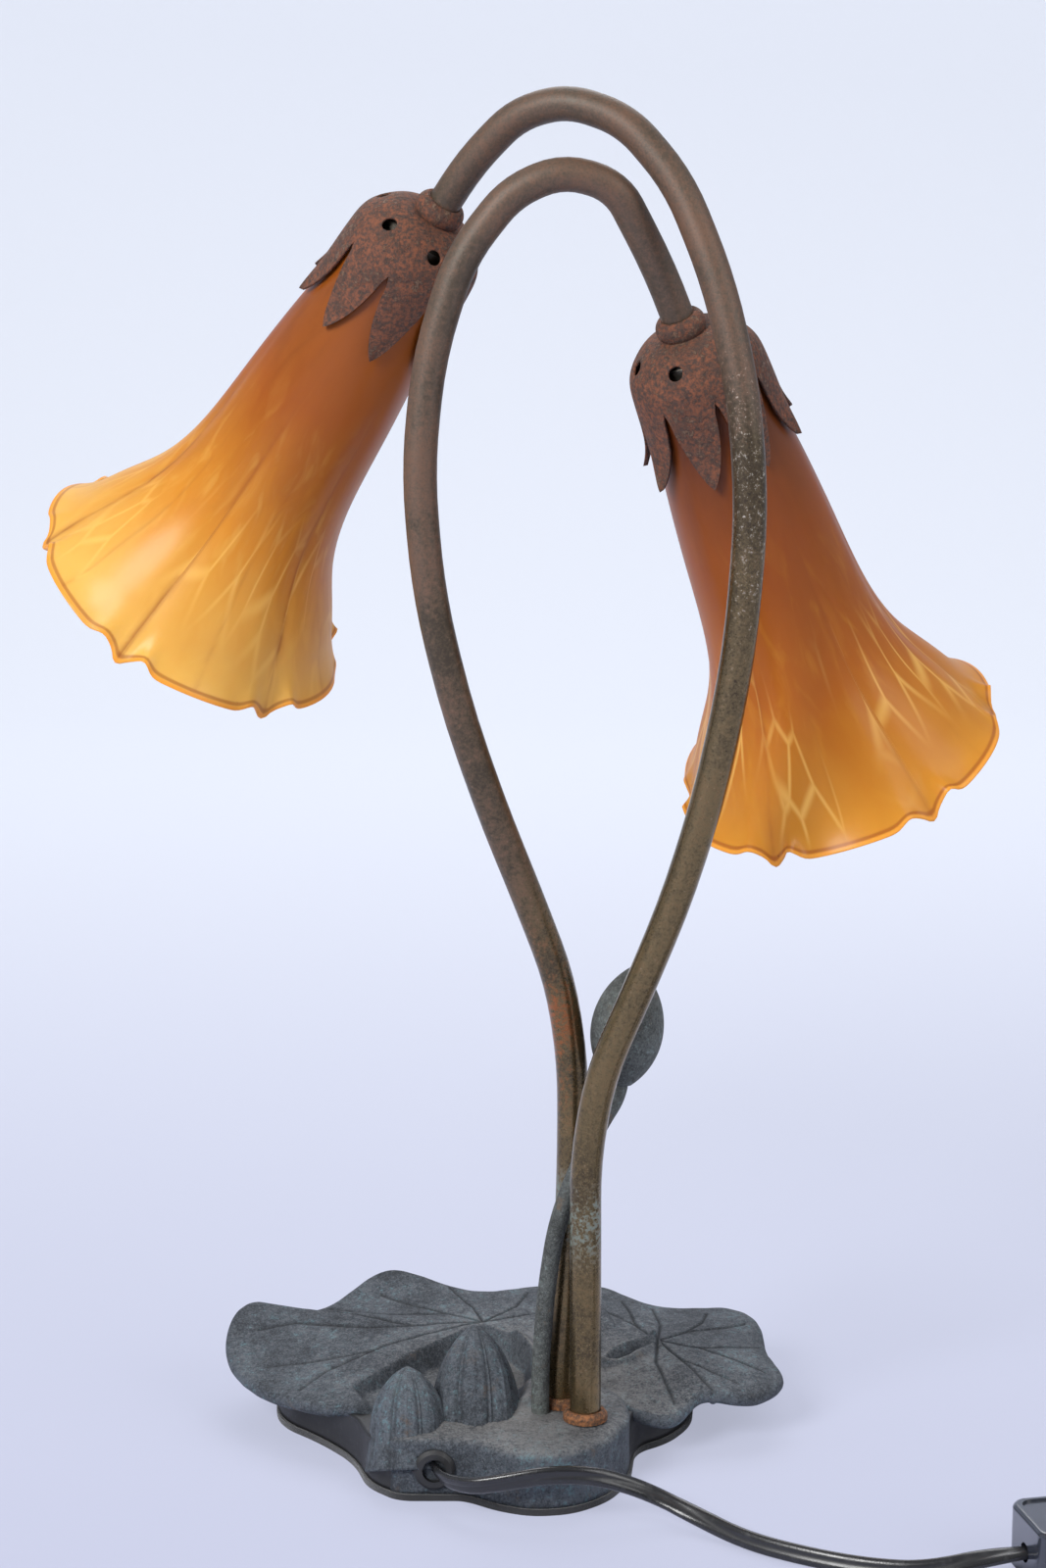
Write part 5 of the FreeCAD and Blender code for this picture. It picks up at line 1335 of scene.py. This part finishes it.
@dataclass
class CordRun:
    """The whole cord: foot to switch, then switch, coil and plug."""

    material: bpy.types.Material
    switch_centre: tuple[float, float] = (180.0, -97.9)
    switch_heading: float = 12.0
    switch_half: float = 32.0
    switch_cord_z: float = 7.5
    coil_centre: tuple[float, float] = (234.0, -26.0)
    coil_radius: float = 42.5
    turns: int = 7
    start_angle: float = -40.0
    pitch: float = 6.3
    rise: float = 3.0
    low: float = 1.6
    per_turn: int = 14
    cord: float = 5.5
    plug: Point = (286.5, 30.0, 7.0)

    def at_switch(self, side: float, inside_by: float) -> Point:
        """A point on the cord's line at one end of the switch, a distance inside that end."""
        a = math.radians(self.switch_heading)
        reach = side * (self.switch_half - inside_by)
        return (self.switch_centre[0] + reach * math.cos(a), self.switch_centre[1] + reach * math.sin(a),
                self.switch_cord_z)

    def coil(self, t: np.ndarray) -> np.ndarray:
        """Points of the coil: it spirals in by the pitch, climbs one layer at the middle and spirals out.

        Args:
            t: Turns from its start.

        Returns:
            Points of the line.
        """
        middle = self.turns / 2
        angle = math.radians(self.start_angle) + TAU * t
        radius = self.coil_radius - self.pitch * (middle - np.sqrt((t - middle) ** 2 + 0.02))
        z = self.low + self.rise * smoothstep(middle - 0.25, middle + 0.25, t)
        return np.stack([self.coil_centre[0] + radius * np.cos(angle),
                         self.coil_centre[1] + radius * np.sin(angle), z], -1)

    def build(self) -> None:
        """Builds both stretches."""
        lead = [(-20.2, -41.0, 10.0), (-20.2, -56.6, 10.0), (-10.4, -67.0, 10.8), (1.0, -69.6, 13.4),
                (13.0, -70.2, 16.0), (26.0, -69.2, 15.6), (36.0, -66.8, 12.2), (46.0, -66.4, 8.0),
                (57.0, -72.2, 4.4), (71.0, -86.0, 2.75), (88.0, -97.0, 2.75), (105.0, -104.4, 2.75),
                (121.0, -108.2, 3.6), self.at_switch(-1.0, -8.0), self.at_switch(-1.0, 7.0)]
        case = ["switch_bottom_cover", "switch_top_cover", "switch_rocker", "switch_pivot_pin", "switch_terminals",
                "switch_screws"]
        FlatCord("lead_cord", np.array(lead), ["cord_lead"], (-20.2, -53.0, 10.0), 210.0, "fitting", case,
                 self.material, twist=LEAD_TWIST).build()
        t = np.arange(self.turns * self.per_turn + 1) / self.per_turn
        coil = self.coil(t)
        near = self.coil(np.array([1e-4, self.turns - 1e-4]))
        start = (near[0] - coil[0]) / np.linalg.norm(near[0] - coil[0])
        end = (coil[-1] - near[1]) / np.linalg.norm(coil[-1] - near[1])
        first = [self.at_switch(1.0, 7.0), self.at_switch(1.0, -8.0), (232.0, -84.4, 3.4), (243.0, -76.6, 1.6),
                 tuple(coil[0] - start * (self.cord + 12.0)), tuple(coil[0] - start * self.cord)]
        last = [tuple(coil[-1] + end * self.cord), tuple(coil[-1] + end * (self.cord + 9.0)), (281.6, -31.0, 4.6),
                (286.4, -17.0, 2.6), (287.8, -2.0, 1.6), (287.2, 13.0, 3.4)]
        last += [(self.plug[0], self.plug[1] + ahead, self.plug[2]) for ahead in (-4.0, 6.0)]
        route = np.concatenate([np.array(first), coil, np.array(last)])
        FlatCord("coiled_cord", route, ["cord_middle", "cord_coil", "cord_tail"], self.at_switch(1.0, 0.0), 1560.0,
                 "plug", ["plug_body", "plug_boot", "plug_pins"], self.material, "coiled").build()


# ---------------------------------------------------------------- studio
@dataclass
class Studio:
    """A pale sweep, soft lamps and the camera that takes the lamp from its cord's side."""

    camera: Point = (6.5, -888.0, 367.0)
    pitch: float = 80.0
    lens: float = 67.5
    near_shaded_tone: Colour = (0.49, 0.51, 0.66)
    far_lit_tone: Colour = (0.82, 0.86, 0.96)
    sky_near: float = 0.28
    sky_far: float = 0.75
    sky_shown: float = 0.92
    sky_tone: Colour = (0.9, 0.93, 1.0)
    aim: Point = (0.0, 0.0, 0.22)

    def shoot(self) -> None:
        """Adds the camera, with the sensor on the picture's long side."""
        data = bpy.data.cameras.new("camera")
        data.lens, data.sensor_width, data.clip_end = self.lens, 36.0, 50.0
        camera = linked("camera", data)
        camera.location = Vector(self.camera) * MM
        camera.rotation_euler = (math.radians(self.pitch), 0.0, 0.0)
        bpy.context.scene.camera = camera

    def sweep(self) -> None:
        """Adds the floor that curves up into the backdrop, well away from the lamp."""
        across = np.linspace(-4000.0, 4000.0, 3)
        turn = np.linspace(0.0, math.pi / 2, 24)
        y = np.concatenate([[-4000.0], 1500.0 + 700.0 * np.sin(turn), [2200.0]])
        z = np.concatenate([[0.0], 700.0 * (1.0 - np.cos(turn)), [5000.0]])
        grid = np.stack(np.broadcast_arrays(across, y[:, None], z[:, None]), -1)
        floor = grid_mesh("studio_floor", grid)
        p = Paint("studio_paper")
        # The paper is painted darker near the camera and paler far off, a painted light falloff, and camera rays see
        # it partly as a painted glow.
        colour = p.mix(p.ease(p.axis("Y"), -0.6, 1.6), self.near_shaded_tone, self.far_lit_tone)
        plain = p.node("ShaderNodeBsdfDiffuse", None, {"Color": colour})
        painted_glow = p.node("ShaderNodeEmission", None, {"Color": colour, "Strength": 1.0})
        seen = p.node("ShaderNodeLightPath", output="Is Camera Ray")
        surface = p.node("ShaderNodeMixShader", None, {0: seen * 0.7, 1: plain, 2: painted_glow})
        floor.data.materials.append(p.close(surface))

    def lamp(self, name: str, place: Point, size: float, power: float) -> None:
        """Adds one square soft lamp that points at the middle of the object."""
        data = bpy.data.lights.new(name, "AREA")
        data.size, data.energy = size, power
        lamp = linked(name, data)
        lamp.location = place
        lamp.rotation_euler = (Vector(self.aim) - lamp.location).to_track_quat("-Z", "Y").to_euler()

    def light(self) -> None:
        """Adds the lamps and a sky that is brighter far off, and even where the camera sees it."""
        self.lamp("key_left", (-0.9, -1.2, 1.1), 0.7, 36.0)
        self.lamp("fill_right", (1.3, -0.9, 0.9), 1.0, 12.0)
        self.lamp("back_top", (0.1, 1.1, 1.5), 1.2, 16.0)
        p = Paint("studio_air", world=True)
        way = p.node("ShaderNodeSeparateXYZ", None, {0: p.node("ShaderNodeTexCoord", output="Generated")}, "Y")
        dim = p.node("ShaderNodeMapRange", None, {0: way, 1: -0.9, 2: 0.2, 3: self.sky_near, 4: self.sky_far})
        seen = p.node("ShaderNodeLightPath", output="Is Camera Ray")
        power = p.node("ShaderNodeMix", None, {0: seen, 2: dim, 3: self.sky_shown})
        bpy.context.scene.world = p.close(p.node("ShaderNodeBackground", None, {0: (*self.sky_tone, 1.0), 1: power}))
        bpy.context.scene.view_settings.view_transform = "Standard"

    def build(self) -> None:
        """Builds the studio."""
        self.shoot()
        self.sweep()
        self.light()


# ---------------------------------------------------------------- the lamp
@dataclass
class TulipLamp:
    """The whole lamp: the pieces made here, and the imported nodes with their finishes."""

    upper_light: Light = ((-18.4, -33.0, 380.8), (-0.515, 0.400, -0.758))
    lower_light: Light = ((51.8, -47.0, 348.4), (0.345, 0.380, -0.858))
    upper_phases: tuple[float, float, float] = (38.0, -19.0, -24.0)
    lower_phases: tuple[float, float, float] = (9.0, -24.0, 25.0)
    made: dict[Finish, bpy.types.Material] = field(default_factory=dict)

    def finish(self, kind: Finish) -> bpy.types.Material:
        """The material of a finish, made once."""
        if kind not in self.made:
            self.made[kind] = kind.value.material()
        return self.made[kind]

    def dress_nodes(self) -> None:
        """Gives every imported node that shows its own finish."""
        for kind, names in NODE_FINISHES.items():
            for name in names:
                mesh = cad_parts[name].data
                mesh.materials.clear()
                mesh.materials.append(self.finish(kind))
                log.info("%s: packed node in %s", name, kind.value.name)

    def build_lights(self) -> None:
        """Builds both shades and calyxes."""
        # One glass in two copies: the left shade's is painted lighter, a painted lit side, and the right shade's
        # darker, a painted shaded side.
        honey = AmberGlass("amber_glass_lit_left", (0.07, 0.017, 0.003), (0.29, 0.072, 0.005), (0.58, 0.23, 0.018),
                           (0.74, 0.43, 0.085), net=0.45, folds=0.75)
        orange = AmberGlass("amber_glass_shaded_right", (0.09, 0.02, 0.003), (0.25, 0.058, 0.004), (0.40, 0.115, 0.008),
                            (0.58, 0.25, 0.023), net=0.6, folds=0.35, shaded_side=(0.16, 0.2))
        TulipShade("upper", self.upper_light, self.upper_phases[0], honey).build()
        TulipShade("lower", self.lower_light, self.lower_phases[0], orange).build()
        rust = self.finish(Finish.CALYX)
        PressedCalyx("upper", self.upper_light, self.upper_phases[1], self.upper_phases[2],
                     (0.3, -0.4, 0.5, 2.8, 0.2, 1.4, 3.4, 0.0), rust).build()
        PressedCalyx("lower", self.lower_light, self.lower_phases[1], self.lower_phases[2],
                     (-0.3, 0.4, 2.2, 3.2, 0.4, 1.2, 2.6, 0.5), rust).build()

    def build_foot(self) -> None:
        """Builds the casting's pads, platform, skirt and buds."""
        cast = self.finish(Finish.CAST)
        left = [(-4.0, 65.0, 24.5), (-21.0, 63.3, 28.4), (-39.5, 70.0, 30.6), (-65.5, 49.3, 22.8), (-85.6, 38.5, 29.5),
                (-89.6, 17.8, 21.5), (-81.2, 0.6, 17.5), (-61.2, -16.4, 16.8), (-44.0, -22.0, 18.0),
                (-14.0, -19.0, 17.0), (14.0, -10.0, 18.5), (31.7, 6.0, 20.0), (38.0, 32.0, 22.0), (31.5, 54.0, 25.0),
                (14.3, 68.8, 25.4)]
        right = [(31.0, 70.0, 24.8), (51.0, 60.3, 21.3), (78.0, 59.0, 20.4), (85.7, 42.0, 19.9), (86.5, 19.8, 18.8),
                 (89.6, 2.6, 17.4), (75.0, -11.8, 17.4), (63.0, -12.6, 18.4), (54.0, -20.4, 13.8), (40.0, -20.0, 15.5),
                 (22.0, -6.0, 18.5), (14.0, 24.0, 21.0), (16.0, 52.0, 24.0)]
        gap = [(-6.0, 32.0), (-13.0, 27.0), (-33.0, 6.0), (-47.0, -9.0), (-38.0, -30.0), (9.0, -30.0), (9.0, 10.0),
               (3.0, 24.0)]
        LilyPad("foot_left_pad", (-6.7, 35.0, 24.5), left, LEFT_VEINS, cast, gap).build()
        LilyPad("foot_right_pad", (50.5, 24.0, 22.0), right, RIGHT_VEINS, cast, seed=2.0).build()
        CastBase(cast).build()

    def build(self) -> None:
        """Builds the cord first, then the lights, the foot and the finishes."""
        CordRun(self.finish(Finish.CORD)).build()
        self.build_lights()
        self.build_foot()
        self.dress_nodes()


def main() -> None:
    """Builds the studio and the lamp."""
    logging.basicConfig(level=logging.INFO, format="%(message)s")
    Studio().build()
    TulipLamp().build()


if __name__ == "__main__":
    main()
